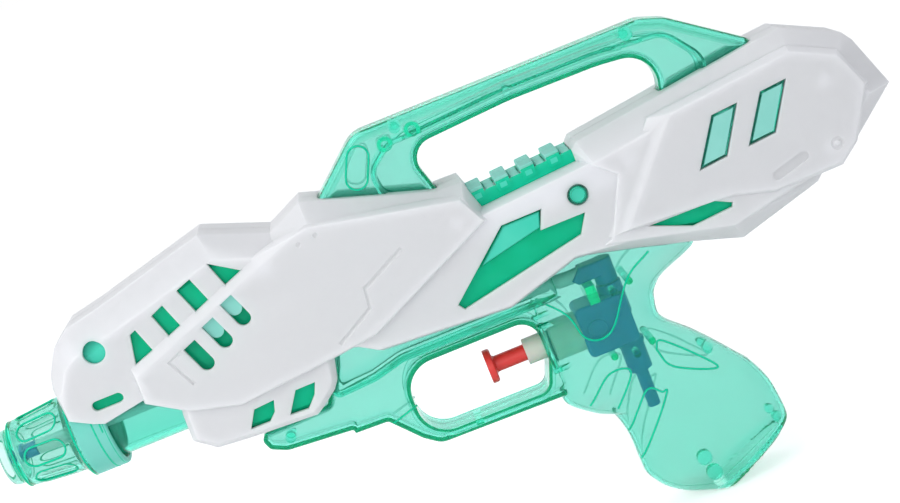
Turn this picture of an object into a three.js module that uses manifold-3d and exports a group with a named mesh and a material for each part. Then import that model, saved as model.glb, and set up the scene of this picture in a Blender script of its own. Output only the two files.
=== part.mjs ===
// A toy water squirter: see-through green tank with carrying handle and pistol grip, white armour
// covers, a screw cap that closes the filling neck, and a plunger pump worked by a red trigger.
// Millimetres, +Z up. While modelling, x runs back from the muzzle, z up from the barrel axis and
// y to the right-hand side. The finished group is moved so that its origin lies under its middle.

import * as THREE from "three";
import { mergeVertices } from "three/addons/utils/BufferGeometryUtils.js";
import Module from "manifold-3d";

const wasm = await Module();
wasm.setup();

// Seams, fits and walls
const SEAM_GAP = 0.3; // between the left and right mouldings at the middle
const FIT_GAP = 0.3; // between pieces that seat on each other
const MERGE_DISTANCE = 1e-4; // corners nearer than this are one corner
const PARALLEL = 1e-6; // edges that turn less than this are in line
const SHELL_GAP = 1; // between the tank and the covers around it
const OPENING_GAP = 0.6; // round whatever comes out through the covers
const SHELL_WALL = 2;
const TANK_WALL = 1.6;

// Barrel neck and screw cap
const BARREL_RADIUS = 16;
const BARREL_LENGTH = 53.7; // behind the neck, the rear of it inside the tank
const NECK_STEP = 0.8; // the threaded neck is smaller than the barrel by this
const THREAD_DEPTH = 1;
const THREAD_CLEARANCE = 0.6;
const THREAD_PITCH = 3;
const NECK_THREAD_TURNS = 2;
const CAP_THREAD_TURNS = 1.5;
const THREAD_ROOT_WIDTH = 1.3;
const THREAD_CREST_WIDTH = 0.7;
const THREAD_LEAD = 0.3; // turns the thread's corners away from those of the neck
const THREAD_RUN_IN = 1.6; // from the neck's end to the middle of its thread
const SKIRT_WALL = 2.4;
const SKIRT_LENGTH = 14.7;
const SKIRT_EDGE = 2;
const SKIRT_EDGE_ROUND = 0.3; // share of the edge that its middle corner is set in by
const SKIRT_SWEEP = 1; // room round the skirt inside the covers
const CAP_WALL = 1.8;
const CAP_GRIP_LENGTH = 24.9;
const CAP_FRONT_RADIUS = 13.7;
const CAP_REAR_RADIUS = 16;
const CAP_RING_LENGTH = 6.4;
const CAP_RING_RADIUS = 11.5;
const CAP_RING_WALL = 1.9;
const CAP_RING_DEPTH = 4.2;
const RECESS_COUNT = 8;
const RECESS_LENGTH = 17;
const RECESS_WIDTH = 8;
const RECESS_DEPTH = 1;
const RECESS_SIDES = 8;
const RECESS_RINGS = 6;
const GASKET_THICKNESS = 1.2;
const GASKET_WIDTH = 2.4;

// Nozzle, its holder and the delivery tube
const NOZZLE_TIP_RADIUS = 2.4;
const NOZZLE_TIP_LENGTH = 2.5;
const NOZZLE_FLANGE_RADIUS = 3.8;
const NOZZLE_FLANGE_LENGTH = 1.5;
const NOZZLE_SHANK_LENGTH = 5.2;
const BARB_LENGTH = 6;
const JET_RADIUS = 0.7;
const TUBE_RADIUS = 3;
const TUBE_BORE = 2;
const TUBE_SIDES = 8;
const TUBE_STEPS = 14;
const TUBE_ROUTE = [[0.28, 0], [0.52, 0], [0.69, 0.35], [0.85, 0.85]]; // shares of its run and of its drop
const HOLDER_FLANGE = 1.2;
const HOLDER_RIM = 1.2;
const HOLDER_DEPTH = 5;
const HOLDER_HUB_WALL = 1.5;
const HOLDER_SPOKES = 3;
const HOLDER_SPOKE_WIDTH = 2;

// White covers. Each outline runs anticlockwise as [x, z, width of the sloping band on the next edge].
const SHELL_SHOULDER = 12; // half width of the flat rim that the sloping bands start from
const FRONT_FACE = 22;
const CENTRE_FACE = 21;
const REAR_FACE = 22;
const LUG_FACE = 20.5;
const LUG_SHOULDER = 17;
const RAISED_FACE = 24;
const RAISED_FOOT = 20.5;
const FRONT_OUTLINE = [
  [41.5, 3.5, 2],
  [46.5, 1.5, 2],
  [64, 4.5, 2],
  [78, -6.5, 2],
  [99, -12, 2],
  [138, -8.5, 2],
  [158, -6, 2.5],
  [215.4, 23, 3],
  [210.5, 37.8, 4.5],
  [200.4, 38, 7],
  [148.8, 54.4, 7],
  [134, 47.5, 8],
  [107.5, 57.5, 10],
  [60.5, 45.5, 10],
  [46, 42.5, 8],
  [38.5, 37, 6],
  [33, 27.5, 4],
  [31.5, 22, 3],
  [31.5, 9, 2],
];
const CENTRE_OUTLINE = [
  [141, -6, 2],
  [148.5, -8, 2],
  [157.4, -13.5, 3],
  [211, -17, 3],
  [241.4, -8.2, 3],
  [272, -12, 2],
  [272, 25, 9],
  [190, 25, 2],
  [160, 8, 2],
];
const REAR_OUTLINE = [
  [241.4, -7.9, 6],
  [284.3, -18.6, 11],
  [307, -25.9, 13],
  [342.4, -16, 7],
  [346, -12.5, 4],
  [357.2, -10.1, 8],
  [381.9, 10.7, 10],
  [373.4, 32, 9],
  [370.2, 36.4, 9],
  [348.1, 47, 9],
  [336.4, 46, 9],
  [290.2, 39.8, 9],
  [257.8, 35.6, 8],
  [255.4, 33, 3],
  [255.4, 20, 2],
];
const LUG_OUTLINE = [
  [77, 4, 1],
  [75, -6, 2.5],
  [74.5, -17.5, 2.5],
  [82.5, -23.8, 2.5],
  [98, -25.2, 2.5],
  [124, -26.5, 2.5],
  [128, -24, 2.5],
  [134, -19.5, 2.5],
  [136.5, -16, 2.5],
  [139.5, -4, 1],
  [139.5, 4, 1],
];
const RAISED_FRONT = [
  [65.4, 19, 1.2],
  [65, 5.3, 1.2],
  [79, -3.7, 1.2],
  [99, -9.2, 1.2],
  [138, -5.7, 1.2],
  [157.5, -3.3, 1.2],
  [212.8, 22.4, 1.2],
  [207.2, 33.3, 1.2],
  [148.5, 46, 1.2],
  [129.4, 42.7, 4],
];
const RAISED_REAR = [
  [264, -2.5, 1.5],
  [307.8, -5.1, 2],
  [323.1, -9.7, 2],
  [351.3, -9.2, 2],
  [358.8, -3.2, 2],
  [369.5, 16.2, 2],
  [363, 31, 2],
  [345.7, 39.2, 2],
  [294.5, 34, 7],
];

// Windows in the covers
const SPY_HOLE = [54.1, 31.3];
const SPY_HOLE_RADIUS = 4.5;
const OBLONG_SLOT = [51.2, 11.2];
const OBLONG_LENGTH = 12.8;
const OBLONG_HEIGHT = 4;
const UPPER_SLOTS = [
  [[67, 20.7], [75.4, 23.6], [72.2, 33.5], [69.6, 32.4]],
  [[83.2, 26.4], [89, 28.5], [85.6, 38.5], [80.2, 36.2]],
  [[96.6, 31.3], [102.9, 33.8], [99.3, 44], [92.9, 41.7]],
  [[111.1, 36.7], [119, 39.7], [107.7, 47.2]],
];
const FINGER_SLOT_COUNT = 3;
const FINGER_SLOT_END = [92.9, 11.3];
const FINGER_SLOT_STEP = [9.9, 5.55];
const FINGER_SLOT_RUN = [-3.6, 9.2];
const FINGER_SLOT_WIDTH = 6;
const MIDDLE_WINDOW = [
  [191.5, -5.7], [193.5, -8.3], [246.4, 2.1], [251, 9.8], [232.2, 9.8], [235.5, 17.6], [218.6, 17.4],
];
const REAR_SLOT = [[272, -4.6], [288.5, -11.4], [305.4, -10.1], [306.1, -8.4], [299.4, -5.1]];
const LUG_SLOTS = [
  [[97.7, -21.1], [105.8, -21.1], [109, -18.1], [110.5, -13.4], [102, -14]],
  [[114.1, -21.7], [121.8, -22.1], [126, -17.7], [128.1, -12.9], [119.8, -13]],
];

// Tank panes that stand in windows of the covers
const PANE_SETBACK = 0.7; // below the face of the cover
const REAR_PANES = [
  [[298.8, 9.2], [309.8, 10.3], [320, 27.8], [309.8, 27]],
  [[319.8, 10.9], [330.6, 11.8], [340.8, 29.4], [330.5, 28.5]],
];
const MIDDLE_PANE = [[205.5, 4.8], [232.5, 10.6], [234.4, 16.8], [219, 16.6]];
const MIDDLE_PANE_FACE = 20.3;
const PEG = [250.7, 17.4];
const PEG_RADIUS = 3.8;
const PEG_PROUD = 0.6;

// Carrying handle, [x, z, corner radius]
const HANDLE_HALF_WIDTH = 8;
const HANDLE_EDGE = 3.4;
const HANDLE_OUTLINE = [
  [157, 38],
  [203, 30],
  [200.6, 38.5],
  [195.2, 56.4, 8],
  [240, 59.2, 60],
  [277, 58.8, 40],
  [300.2, 56.4, 12],
  [296.5, 40],
  [298, 32],
  [328, 36],
  [334, 42, 2],
  [338.6, 45.4, 3],
  [308.5, 66.8, 14],
  [298.5, 70.3, 12],
  [177.5, 70.3, 12],
  [155.6, 51.2, 2],
];

// Toothed rail on top of the tank
const RAIL_START = 209;
const RAIL_END = 257;
const RAIL_HALF_WIDTH = 10;
const RAIL_TOP = 30.5;
const RAIL_DEPTH = 16;
const TOOTH_COUNT = 4;
const TOOTH_FIRST = 214.9;
const TOOTH_PITCH = 10.9;
const TOOTH_LENGTH = 5.6;
const TOOTH_HEIGHT = 3.5;
const TOOTH_SLOPE = 0.8;

// Trigger guard with the tongue in front of it
const GUARD_HALF_WIDTH = 6.7;
const GUARD_EDGE = 1.6;
const GUARD_OUTLINE = [
  [98, -31.6, 2.4],
  [99.6, -35.8, 3],
  [106, -38.9, 8],
  [133.4, -41.2, 1],
  [133.8, -42.9],
  [147.6, -43.4, 2],
  [158.2, -55.4, 6],
  [164.5, -60.2, 8],
  [216.5, -61.2],
  [232, -62],
  [232, 6],
  [142, 6],
  [128, -27.5, 2],
  [100, -28.6, 2.4],
];
const GUARD_HOLE = [
  [160.4, -25.6, 12.5],
  [160.4, -55.8, 12.5],
  [212.6, -56.2, 5],
  [217, -44, 10],
  [217, -25.6, 8],
];
const FRONT_BLOCK_HALF_WIDTH = 12.5;
const FRONT_BLOCK_EDGE = 4;
const FRONT_BLOCK = [[139, 6], [131, -26, 3], [150, -25, 10], [163, -21.8, 10], [232, -21.8], [232, 6]];

// Pistol grip as level slices: [z, front x, back x]
const GRIP_HALF_WIDTH = 13;
const GRIP_SQUARENESS = 2.6;
const GRIP_POINTS = 12;
const GRIP_FRONT = 217;
const GRIP_SLICES = [
  [2, GRIP_FRONT, 292],
  [-21, GRIP_FRONT, 290],
  [-30, GRIP_FRONT, 271.3],
  [-36, GRIP_FRONT, 266.6],
  [-43.6, GRIP_FRONT, 265.4],
  [-58, GRIP_FRONT, 277.4],
  [-63.2, 216.5, 282],
  [-73.6, 226.4, 290.4],
  [-77.5, 233.8, 293.5],
  [-91, 236.8, 299],
  [-104.6, 237.2, 300.4],
  [-112, 240.9, 300],
  [-118, 248, 299],
  [-122.9, 262, 296],
];
const GRIP_BASE_FRONT = [267.6, -122.9];
const GRIP_BASE_REAR = [295.4, -110];

// Weld pins and posts inside the tank: [x, z, radius]
const WELD_PINS = [
  [194.4, 66.8, 2.4],
  [240.3, 63.4, 1.8],
  [291.6, 66.6, 2.6],
  [278.4, -64.6, 2.2],
  [263, -113.6, 3.2],
  [295, -102.8, 2],
  [181.9, -58, 1.6],
  [109, -34.4, 2.2],
];
const POSTS = [[188.4, 61.8], [200.4, 63.4]];
const POST_OUTER = 3.2;
const POST_BORE = 1.6;

// Screws of the covers, driven in from the right
const SCREW_PLACES = [[44.5, 33], [128, 36.5], [203, 25.5], [274, 23], [355, 23], [349, -2.5]];
const SCREW_POST_RADIUS = 3.6;
const SCREW_RADIUS = 1.3;
const SCREW_LENGTH = 18;
const SCREW_HEAD_RADIUS = 2.7;
const SCREW_HEAD_HEIGHT = 1.8;
const SCREW_SEAT = 7; // height of the counterbore's floor above the middle
const SCREW_DRIVE_WIDTH = 0.9;
const SCREW_DRIVE_DEPTH = 0.9;
const SCREW_DRIVE_REACH = 0.7; // share of the head's radius
const SCREW_HEAD_TOP = 0.6; // share of the head's radius that stays flat

// Pump
const PUMP_AXIS = -39.4; // height of the trigger's axis
const TRIGGER_TRAVEL = 10.4;
const TRIGGER_MARGIN = 3; // stem that still shows when the trigger is pulled
const TRIGGER_DISC_RADIUS = 7.1;
const TRIGGER_DISC_LENGTH = 3.1;
const TRIGGER_STEM_RADIUS = 3.4;
const CYLINDER_NOSE_RADIUS = 5.45;
const CYLINDER_NOSE_LENGTH = 7.6; // in front of the tank wall
const CYLINDER_RADIUS = 8.3;
const CYLINDER_BORE = 6.2;
const CYLINDER_END_WALL = 1.8;
const CYLINDER_SOCKET = 4; // how deep the cylinder sits in the block
const CYLINDER_BEVEL = 1;
const CYLINDER_GASKET = 1.2;
const HOUSING_ROOM = 1; // round the cylinder, behind the front wall of the grip
const HOUSING_LENGTH = 14;
const HOUSING_EDGE = 0.8;
const PISTON_LENGTH = 4;
const PISTON_PLAY = 0.5;
const SEAL_WIDTH = 1.6;
const SEAL_DEPTH = 1.2;
const SEAL_PLAY = 0.2;
const SPRING_RADIUS = 4.1;
const SPRING_WIRE = 0.4;
const SPRING_TURNS = 6;
const SPRING_STEPS = 8;
const SPRING_SIDES = 5;
const SPRING_PIN_RADIUS = 2.6;
const SPRING_PIN_LENGTH = 6;
const BLOCK_LENGTH = 21.5;
const BLOCK_HEIGHT = 21.4;
const BLOCK_HALF_WIDTH = 9;
const BLOCK_CORNER = 2.4;
const BLOCK_EDGE = 1.2;
const BOSS_RADIUS = 4.2;
const BOSS_PROUD = 1.2;
const BOSS_BEHIND_FRONT = 6.7;
const CHAMBER_RADIUS = 5.2;
const CHAMBER_LENGTH = 9.5;
const VALVE_BEHIND_FRONT = 17.6;
const PASSAGE_RADIUS = 1.6;
const BALL_RADIUS = 2.2;
const BALL_RINGS = 7;
const BALL_PLAY = 0.45; // between a ball and the wall of its cage
const BALL_LIFT = 1.2;
const THROAT_RADIUS = 1.4;
const THROAT_LENGTH = 3;
const VALVE_NECK_RADIUS = 5.2;
const VALVE_NECK_HEIGHT = 3.8;
const CAGE_MARGIN = 0.09; // above the ball's lift
const ELBOW_RADIUS = 4.6;
const ELBOW_HEIGHT = 10.4;
const ELBOW_ARM_RADIUS = 2.6;
const ELBOW_ARM_DROP = 3; // from the elbow's top to the arm's axis
const ELBOW_ARM_LENGTH = 8.5;
const STUB_RADIUS = 5;
const STUB_LENGTH = 11.4;
const STUB_COLLAR = 2.2;
const STUB_COLLAR_PROUD = 0.6;
const SPIGOT_WALL = 1.15;
const SPIGOT_LENGTH = 4.4;
const PIPE_RADIUS = 2.65;
const PIPE_BORE = 1.5;
const PIPE_SOCKET = 8;
const PIPE_END = -80.4;
const RIB_WIDTH = 4.2;
const RIB_HEIGHT = 7.4;
const RIB_BEHIND_FRONT = 7.2;
const STAY_RADIUS = 1.5;

// Fineness of round pieces
const LARGE_SIDES = 28;
const SMALL_SIDES = 10;
const PIN_SIDES = 6;
const ARC_STEP = Math.PI / 6;
const EDGE_STEPS = 2;
const BEYOND = 60; // how far cutting pieces reach past what they cut

// Stations that follow from the sizes above
const neckRadius = BARREL_RADIUS - NECK_STEP;
const barrelBore = neckRadius - TANK_WALL;
const neckCrest = neckRadius + THREAD_DEPTH;
const skirtBore = neckCrest + THREAD_CLEARANCE;
const skirtRadius = skirtBore + SKIRT_WALL;
const skirtStart = CAP_RING_LENGTH + CAP_GRIP_LENGTH;
const skirtEnd = skirtStart + SKIRT_LENGTH;
const capShoulder = skirtStart + CAP_WALL;
const gasketStart = capShoulder + FIT_GAP;
const gasketEnd = gasketStart + GASKET_THICKNESS;
const holderStart = gasketEnd + FIT_GAP;
const neckEnd = holderStart + HOLDER_FLANGE + FIT_GAP;
const neckThreadStart = neckEnd + THREAD_RUN_IN;
const barrelStart = neckThreadStart + THREAD_PITCH * NECK_THREAD_TURNS + THREAD_ROOT_WIDTH;
const capCavityStart = CAP_RING_DEPTH + CAP_WALL + RECESS_DEPTH;
const shankRadius = TUBE_RADIUS;
const barbRadius = TUBE_BORE - FIT_GAP;
const nozzleFlangeStart = capCavityStart + FIT_GAP;
const nozzleShankStart = nozzleFlangeStart + NOZZLE_FLANGE_LENGTH;
const nozzleBarbStart = nozzleShankStart + NOZZLE_SHANK_LENGTH;
const tubeStart = nozzleBarbStart + FIT_GAP;

const tankFront = GRIP_FRONT + TANK_WALL;
const cylinderNose = GRIP_FRONT - CYLINDER_NOSE_LENGTH;
const cylinderShoulder = tankFront + FIT_GAP + CYLINDER_GASKET + FIT_GAP;
const cylinderLength = CYLINDER_END_WALL + PISTON_LENGTH + TRIGGER_TRAVEL + 2 * FIT_GAP;
const cylinderEnd = cylinderShoulder + cylinderLength;
const blockFront = cylinderEnd - CYLINDER_SOCKET;
const blockTop = PUMP_AXIS + BLOCK_HEIGHT / 2;
const blockBottom = PUMP_AXIS - BLOCK_HEIGHT / 2;
const chamberStart = cylinderEnd + FIT_GAP;
const chamberEnd = chamberStart + CHAMBER_LENGTH;
const valveAxis = blockFront + VALVE_BEHIND_FRONT;
const pistonFront = cylinderShoulder + CYLINDER_END_WALL + FIT_GAP;
const pistonRear = pistonFront + PISTON_LENGTH;
const pistonRadius = CYLINDER_BORE - PISTON_PLAY;
const discRear = cylinderNose - TRIGGER_TRAVEL - TRIGGER_MARGIN;
const springStart = pistonRear + FIT_GAP;
const springEnd = chamberEnd - FIT_GAP;
const cageRadius = BALL_RADIUS + BALL_PLAY;
const ballSeat = Math.sqrt(BALL_RADIUS ** 2 - THROAT_RADIUS ** 2) + FIT_GAP; // centre above the throat
const neckTop = blockTop + VALVE_NECK_HEIGHT;
const elbowBottom = neckTop + FIT_GAP;
const cageDepth = ballSeat + BALL_RADIUS + BALL_LIFT + CAGE_MARGIN;
const outletThroatTop = elbowBottom - cageDepth;
const elbowTop = elbowBottom + ELBOW_HEIGHT;
const armHeight = elbowTop - ELBOW_ARM_DROP;
const armEnd = valveAxis - ELBOW_ARM_LENGTH;
const spigotTop = blockBottom + SPIGOT_LENGTH;
const collarTop = blockBottom - FIT_GAP;
const stubTop = collarTop - STUB_COLLAR;
const stubBottom = stubTop - STUB_LENGTH;
const inletThroatTop = stubBottom + PIPE_SOCKET + THROAT_LENGTH;
const spigotRadius = cageRadius + SPIGOT_WALL;

// Geometry helpers

// A closed geometry as a solid with merged corners and its faces outwards.
function solid(geometry) {
  const bare = new THREE.BufferGeometry();
  bare.setAttribute("position", geometry.getAttribute("position"));
  if (geometry.index) {
    bare.setIndex(geometry.index);
  }
  const merged = mergeVertices(bare, MERGE_DISTANCE);
  const corners = merged.getAttribute("position").array;
  const index = merged.index.array;
  const faces = [];
  let volume = 0;
  const a = new THREE.Vector3();
  const b = new THREE.Vector3();
  const c = new THREE.Vector3();
  for (let i = 0; i < index.length; i += 3) {
    const [p, q, r] = [index[i], index[i + 1], index[i + 2]];
    if (p === q || q === r || r === p) {
      continue;
    }
    faces.push([p, q, r]);
    a.fromArray(corners, 3 * p);
    b.fromArray(corners, 3 * q);
    c.fromArray(corners, 3 * r);
    volume += a.dot(b.cross(c));
  }
  const outward = volume > 0 ? faces : faces.map(([p, q, r]) => [p, r, q]);
  const mesh = new wasm.Mesh({
    numProp: 3,
    vertProperties: new Float32Array(corners),
    triVerts: new Uint32Array(outward.flat()),
  });
  return new wasm.Manifold(mesh);
}

function union(...bodies) {
  return bodies.reduce((sum, body) => sum.add(body));
}

// A body of rings of points, closed at both ends by the faces of the end rings.
function skin(rings, endFaces) {
  const size = rings[0].length;
  const faces = [];
  for (let ring = 0; ring + 1 < rings.length; ring++) {
    for (let i = 0; i < size; i++) {
      const here = ring * size + i;
      const next = ring * size + ((i + 1) % size);
      faces.push(here, next, next + size, here, next + size, here + size);
    }
  }
  const last = (rings.length - 1) * size;
  for (const [a, b, c] of endFaces) {
    faces.push(c, b, a, last + a, last + b, last + c);
  }
  const geometry = new THREE.BufferGeometry();
  geometry.setAttribute("position", new THREE.Float32BufferAttribute(rings.flat(2), 3));
  geometry.setIndex(faces);
  return solid(geometry);
}

function fanFaces(count) {
  return Array.from({ length: count - 2 }, (_, i) => [0, i + 1, i + 2]);
}

// Moves each edge of an anticlockwise outline outwards; an edge that would turn back closes up.
function offsetOutline(points, distances) {
  const count = points.length;
  const lines = points.map(([x, z], i) => {
    const [nextX, nextZ] = points[(i + 1) % count];
    const length = Math.hypot(nextX - x, nextZ - z);
    const along = [(nextX - x) / length, (nextZ - z) / length];
    const out = Array.isArray(distances) ? distances[i] : distances;
    return { along, at: [x + along[1] * out, z - along[0] * out], kept: true };
  });
  const lineFrom = (i) => {
    let k = i % count;
    while (!lines[k].kept) {
      k = (k + 1) % count;
    }
    return lines[k];
  };
  const lineBefore = (i) => {
    let k = (i + count - 1) % count;
    while (!lines[k].kept) {
      k = (k + count - 1) % count;
    }
    return lines[k];
  };
  const meet = (p, q) => {
    const cross = p.along[0] * q.along[1] - p.along[1] * q.along[0];
    if (Math.abs(cross) < PARALLEL) {
      return q.at;
    }
    const run = ((q.at[0] - p.at[0]) * q.along[1] - (q.at[1] - p.at[1]) * q.along[0]) / cross;
    return [p.at[0] + p.along[0] * run, p.at[1] + p.along[1] * run];
  };
  let corners;
  let turnedBack;
  do {
    corners = points.map((_, i) => meet(lineBefore(i), lineFrom(i)));
    turnedBack = lines.findIndex((line, i) => {
      const [x, z] = corners[i];
      const [nextX, nextZ] = corners[(i + 1) % count];
      return line.kept && (nextX - x) * line.along[0] + (nextZ - z) * line.along[1] < -PARALLEL;
    });
    if (turnedBack >= 0) {
      lines[turnedBack].kept = false;
    }
  } while (turnedBack >= 0);
  return corners;
}

// Corners given as [x, z, radius] become arcs.
function rounded(corners) {
  const points = [];
  corners.forEach(([x, z, radius = 0], i) => {
    if (radius === 0) {
      points.push([x, z]);
      return;
    }
    const corner = new THREE.Vector2(x, z);
    const before = new THREE.Vector2(...corners.at(i - 1)).sub(corner).normalize();
    const after = new THREE.Vector2(...corners[(i + 1) % corners.length]).sub(corner).normalize();
    const half = Math.acos(THREE.MathUtils.clamp(before.dot(after), -1, 1)) / 2;
    const middle = before.clone().add(after).normalize();
    const centre = corner.clone().addScaledVector(middle, radius / Math.sin(half));
    const start = corner.clone().addScaledVector(before, radius / Math.tan(half)).sub(centre);
    const turn = Math.PI - 2 * half;
    const side = before.cross(after) > 0 ? -1 : 1;
    const steps = Math.max(1, Math.ceil(turn / ARC_STEP));
    for (let k = 0; k <= steps; k++) {
      const spoke = start.clone().rotateAround(new THREE.Vector2(), (side * turn * k) / steps);
      points.push([centre.x + spoke.x, centre.y + spoke.y]);
    }
  });
  return points;
}

function endFacesOf(outline) {
  return THREE.ShapeUtils.triangulateShape(outline.map(([x, z]) => new THREE.Vector2(x, z)), []);
}

// A body across the middle plane: outlines at rising half widths, mirrored on the other side.
function acrossBody(levels) {
  const mirrored = levels.map(([y, outline]) => [-y, outline]).reverse();
  const rings = [...mirrored, ...levels].map(([y, outline]) => outline.map(([x, z]) => [x, y, z]));
  return skin(rings, endFacesOf(levels.at(-1)[1]));
}

// An armour plate on both sides: a flat rim, sloping bands and a flat face.
function plate(outline, shoulder, face, grow) {
  const base = offsetOutline(outline, grow);
  const top = offsetOutline(outline, outline.map(([, , band]) => grow - band));
  return acrossBody([
    [shoulder + grow * (Math.SQRT2 - 1), base],
    [face + grow, top],
  ]);
}

// A raised panel on both sides: its outline is that of its face, and its bands spread outwards.
function raisedPanel(outline, foot, face, grow) {
  const base = offsetOutline(outline, outline.map(([, , band]) => grow + band));
  const top = offsetOutline(outline, grow);
  return acrossBody([
    [foot + grow, base],
    [face + grow, top],
  ]);
}

// A prism across the middle plane with rounded long edges.
function softPrism(outline, halfWidth, edge, grow = 0) {
  const levels = [];
  const steps = grow < 0 ? 1 : EDGE_STEPS; // a hollow needs no round edge
  for (let k = 0; k <= steps; k++) {
    const angle = (Math.PI / 2) * (k / steps);
    const inset = edge * (1 - Math.cos(angle));
    levels.push([halfWidth + grow - edge * (1 - Math.sin(angle)), offsetOutline(outline, grow - inset)]);
  }
  return acrossBody(levels);
}

// A straight prism across the middle plane.
function prism(outline, halfWidth) {
  const shape = new THREE.Shape(outline.map(([x, z]) => new THREE.Vector2(x, z)));
  const geometry = new THREE.ExtrudeGeometry(shape, { depth: 2 * halfWidth, bevelEnabled: false });
  geometry.translate(0, 0, -halfWidth);
  geometry.rotateX(Math.PI / 2);
  return solid(geometry);
}

function stadium([x, z], [runX, runZ], width) {
  const slope = Math.atan2(runZ, runX);
  const shape = new THREE.Shape();
  shape.absarc(x, z, width / 2, slope + Math.PI / 2, slope + 1.5 * Math.PI, false);
  shape.absarc(x + runX, z + runZ, width / 2, slope - Math.PI / 2, slope + Math.PI / 2, false);
  return shape.getPoints(SMALL_SIDES / 2).map((point) => [point.x, point.y]);
}

function circle([x, z], radius, sides = SMALL_SIDES) {
  return Array.from({ length: sides }, (_, i) => {
    const angle = (2 * Math.PI * i) / sides;
    return [x + radius * Math.cos(angle), z + radius * Math.sin(angle)];
  });
}

function lathe(profile, sides) {
  return new THREE.LatheGeometry(profile.map(([along, radius]) => new THREE.Vector2(radius, along)), sides);
}

// Turned pieces: profiles of [place along the axis, radius].
function turnedX(profile, height = 0, sides = LARGE_SIDES) {
  return solid(lathe(profile, sides).rotateZ(-Math.PI / 2).translate(0, 0, height));
}

function turnedY(profile, [x, z], sides = SMALL_SIDES) {
  return solid(lathe(profile, sides).translate(x, 0, z));
}

function turnedZ(profile, x, sides = SMALL_SIDES) {
  return solid(lathe(profile, sides).rotateX(Math.PI / 2).translate(x, 0, 0));
}

function rodProfile(start, end, radius) {
  return [[start, 0], [start, radius], [end, radius], [end, 0]];
}

function ringProfile(start, end, inner, outer) {
  return [[start, inner], [start, outer], [end, outer], [end, inner], [start, inner]];
}

function block(minimum, maximum) {
  const size = maximum.map((value, i) => value - minimum[i]);
  const middle = maximum.map((value, i) => (value + minimum[i]) / 2);
  return solid(new THREE.BoxGeometry(...size).translate(...middle));
}

// A right-hand thread round the barrel axis, from its root inside the wall to its crest.
function thread(start, turns, root, crest) {
  const stepsPerTurn = LARGE_SIDES / 2;
  const steps = Math.round(turns * stepsPerTurn);
  const rings = [];
  for (let k = 0; k <= steps; k++) {
    const angle = (2 * Math.PI * (k + THREAD_LEAD)) / stepsPerTurn;
    const middle = start + (THREAD_PITCH * k) / stepsPerTurn;
    const section = [
      [middle - THREAD_ROOT_WIDTH / 2, root],
      [middle - THREAD_CREST_WIDTH / 2, crest],
      [middle + THREAD_CREST_WIDTH / 2, crest],
      [middle + THREAD_ROOT_WIDTH / 2, root],
    ];
    rings.push(section.map(([x, radius]) => [x, radius * Math.cos(angle), radius * Math.sin(angle)]));
  }
  return skin(rings, fanFaces(4));
}

function halfSpace(side) {
  const near = SEAM_GAP / 2;
  const reach = RAISED_FACE + BEYOND;
  const rear = Math.max(...REAR_OUTLINE.map(([x]) => x));
  const top = Math.max(...HANDLE_OUTLINE.map(([, z]) => z));
  const low = [-BEYOND, side > 0 ? near : -reach, GRIP_BASE_FRONT[1] - BEYOND];
  return block(low, [rear + BEYOND, side > 0 ? reach : -near, top + BEYOND]);
}

// Tank

function gripForm(grow) {
  const rings = GRIP_SLICES.map(([z, front, back]) => {
    const middle = (front + back) / 2;
    const halfLength = (back - front) / 2 + grow;
    return Array.from({ length: GRIP_POINTS }, (_, i) => {
      const angle = (2 * Math.PI * i) / GRIP_POINTS;
      const power = 2 / GRIP_SQUARENESS;
      const x = Math.sign(Math.cos(angle)) * Math.abs(Math.cos(angle)) ** power;
      const y = Math.sign(Math.sin(angle)) * Math.abs(Math.sin(angle)) ** power;
      return [middle + halfLength * x, (GRIP_HALF_WIDTH + grow) * y, z];
    });
  });
  const base = new THREE.Vector2(...GRIP_BASE_REAR).sub(new THREE.Vector2(...GRIP_BASE_FRONT)).normalize();
  const below = [base.y, -base.x];
  const baseLine = [GRIP_BASE_FRONT, GRIP_BASE_REAR].map(([x, z], i) => {
    const reach = i === 0 ? -BEYOND : BEYOND;
    return [x + below[0] * grow + base.x * reach, z + below[1] * grow + base.y * reach];
  });
  const underside = prism(
    [
      baseLine[0],
      [baseLine[0][0] + below[0] * BEYOND, baseLine[0][1] + below[1] * BEYOND],
      [baseLine[1][0] + below[0] * BEYOND, baseLine[1][1] + below[1] * BEYOND],
      baseLine[1],
    ],
    GRIP_HALF_WIDTH + BEYOND,
  );
  return skin(rings, fanFaces(GRIP_POINTS)).subtract(underside);
}

function guardForm(grow) {
  const hole = offsetOutline(rounded(GUARD_HOLE), -grow);
  const guard = softPrism(rounded(GUARD_OUTLINE), GUARD_HALF_WIDTH, GUARD_EDGE, grow);
  return guard.subtract(prism(hole, BEYOND));
}

// The squared front of the grip, round the pump's cylinder.
function housingForm(grow) {
  const half = CYLINDER_RADIUS + HOUSING_ROOM + TANK_WALL;
  const rear = GRIP_FRONT + HOUSING_LENGTH;
  const low = PUMP_AXIS - half;
  const high = PUMP_AXIS + half;
  const outline = [[GRIP_FRONT, high], [GRIP_FRONT, low], [rear, low], [rear, high]];
  return softPrism(outline, half, HOUSING_EDGE, grow);
}

function railForm(grow) {
  const low = [RAIL_START - grow, -RAIL_HALF_WIDTH - grow, RAIL_TOP - RAIL_DEPTH];
  return block(low, [RAIL_END + grow, RAIL_HALF_WIDTH + grow, RAIL_TOP + grow]);
}

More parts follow.
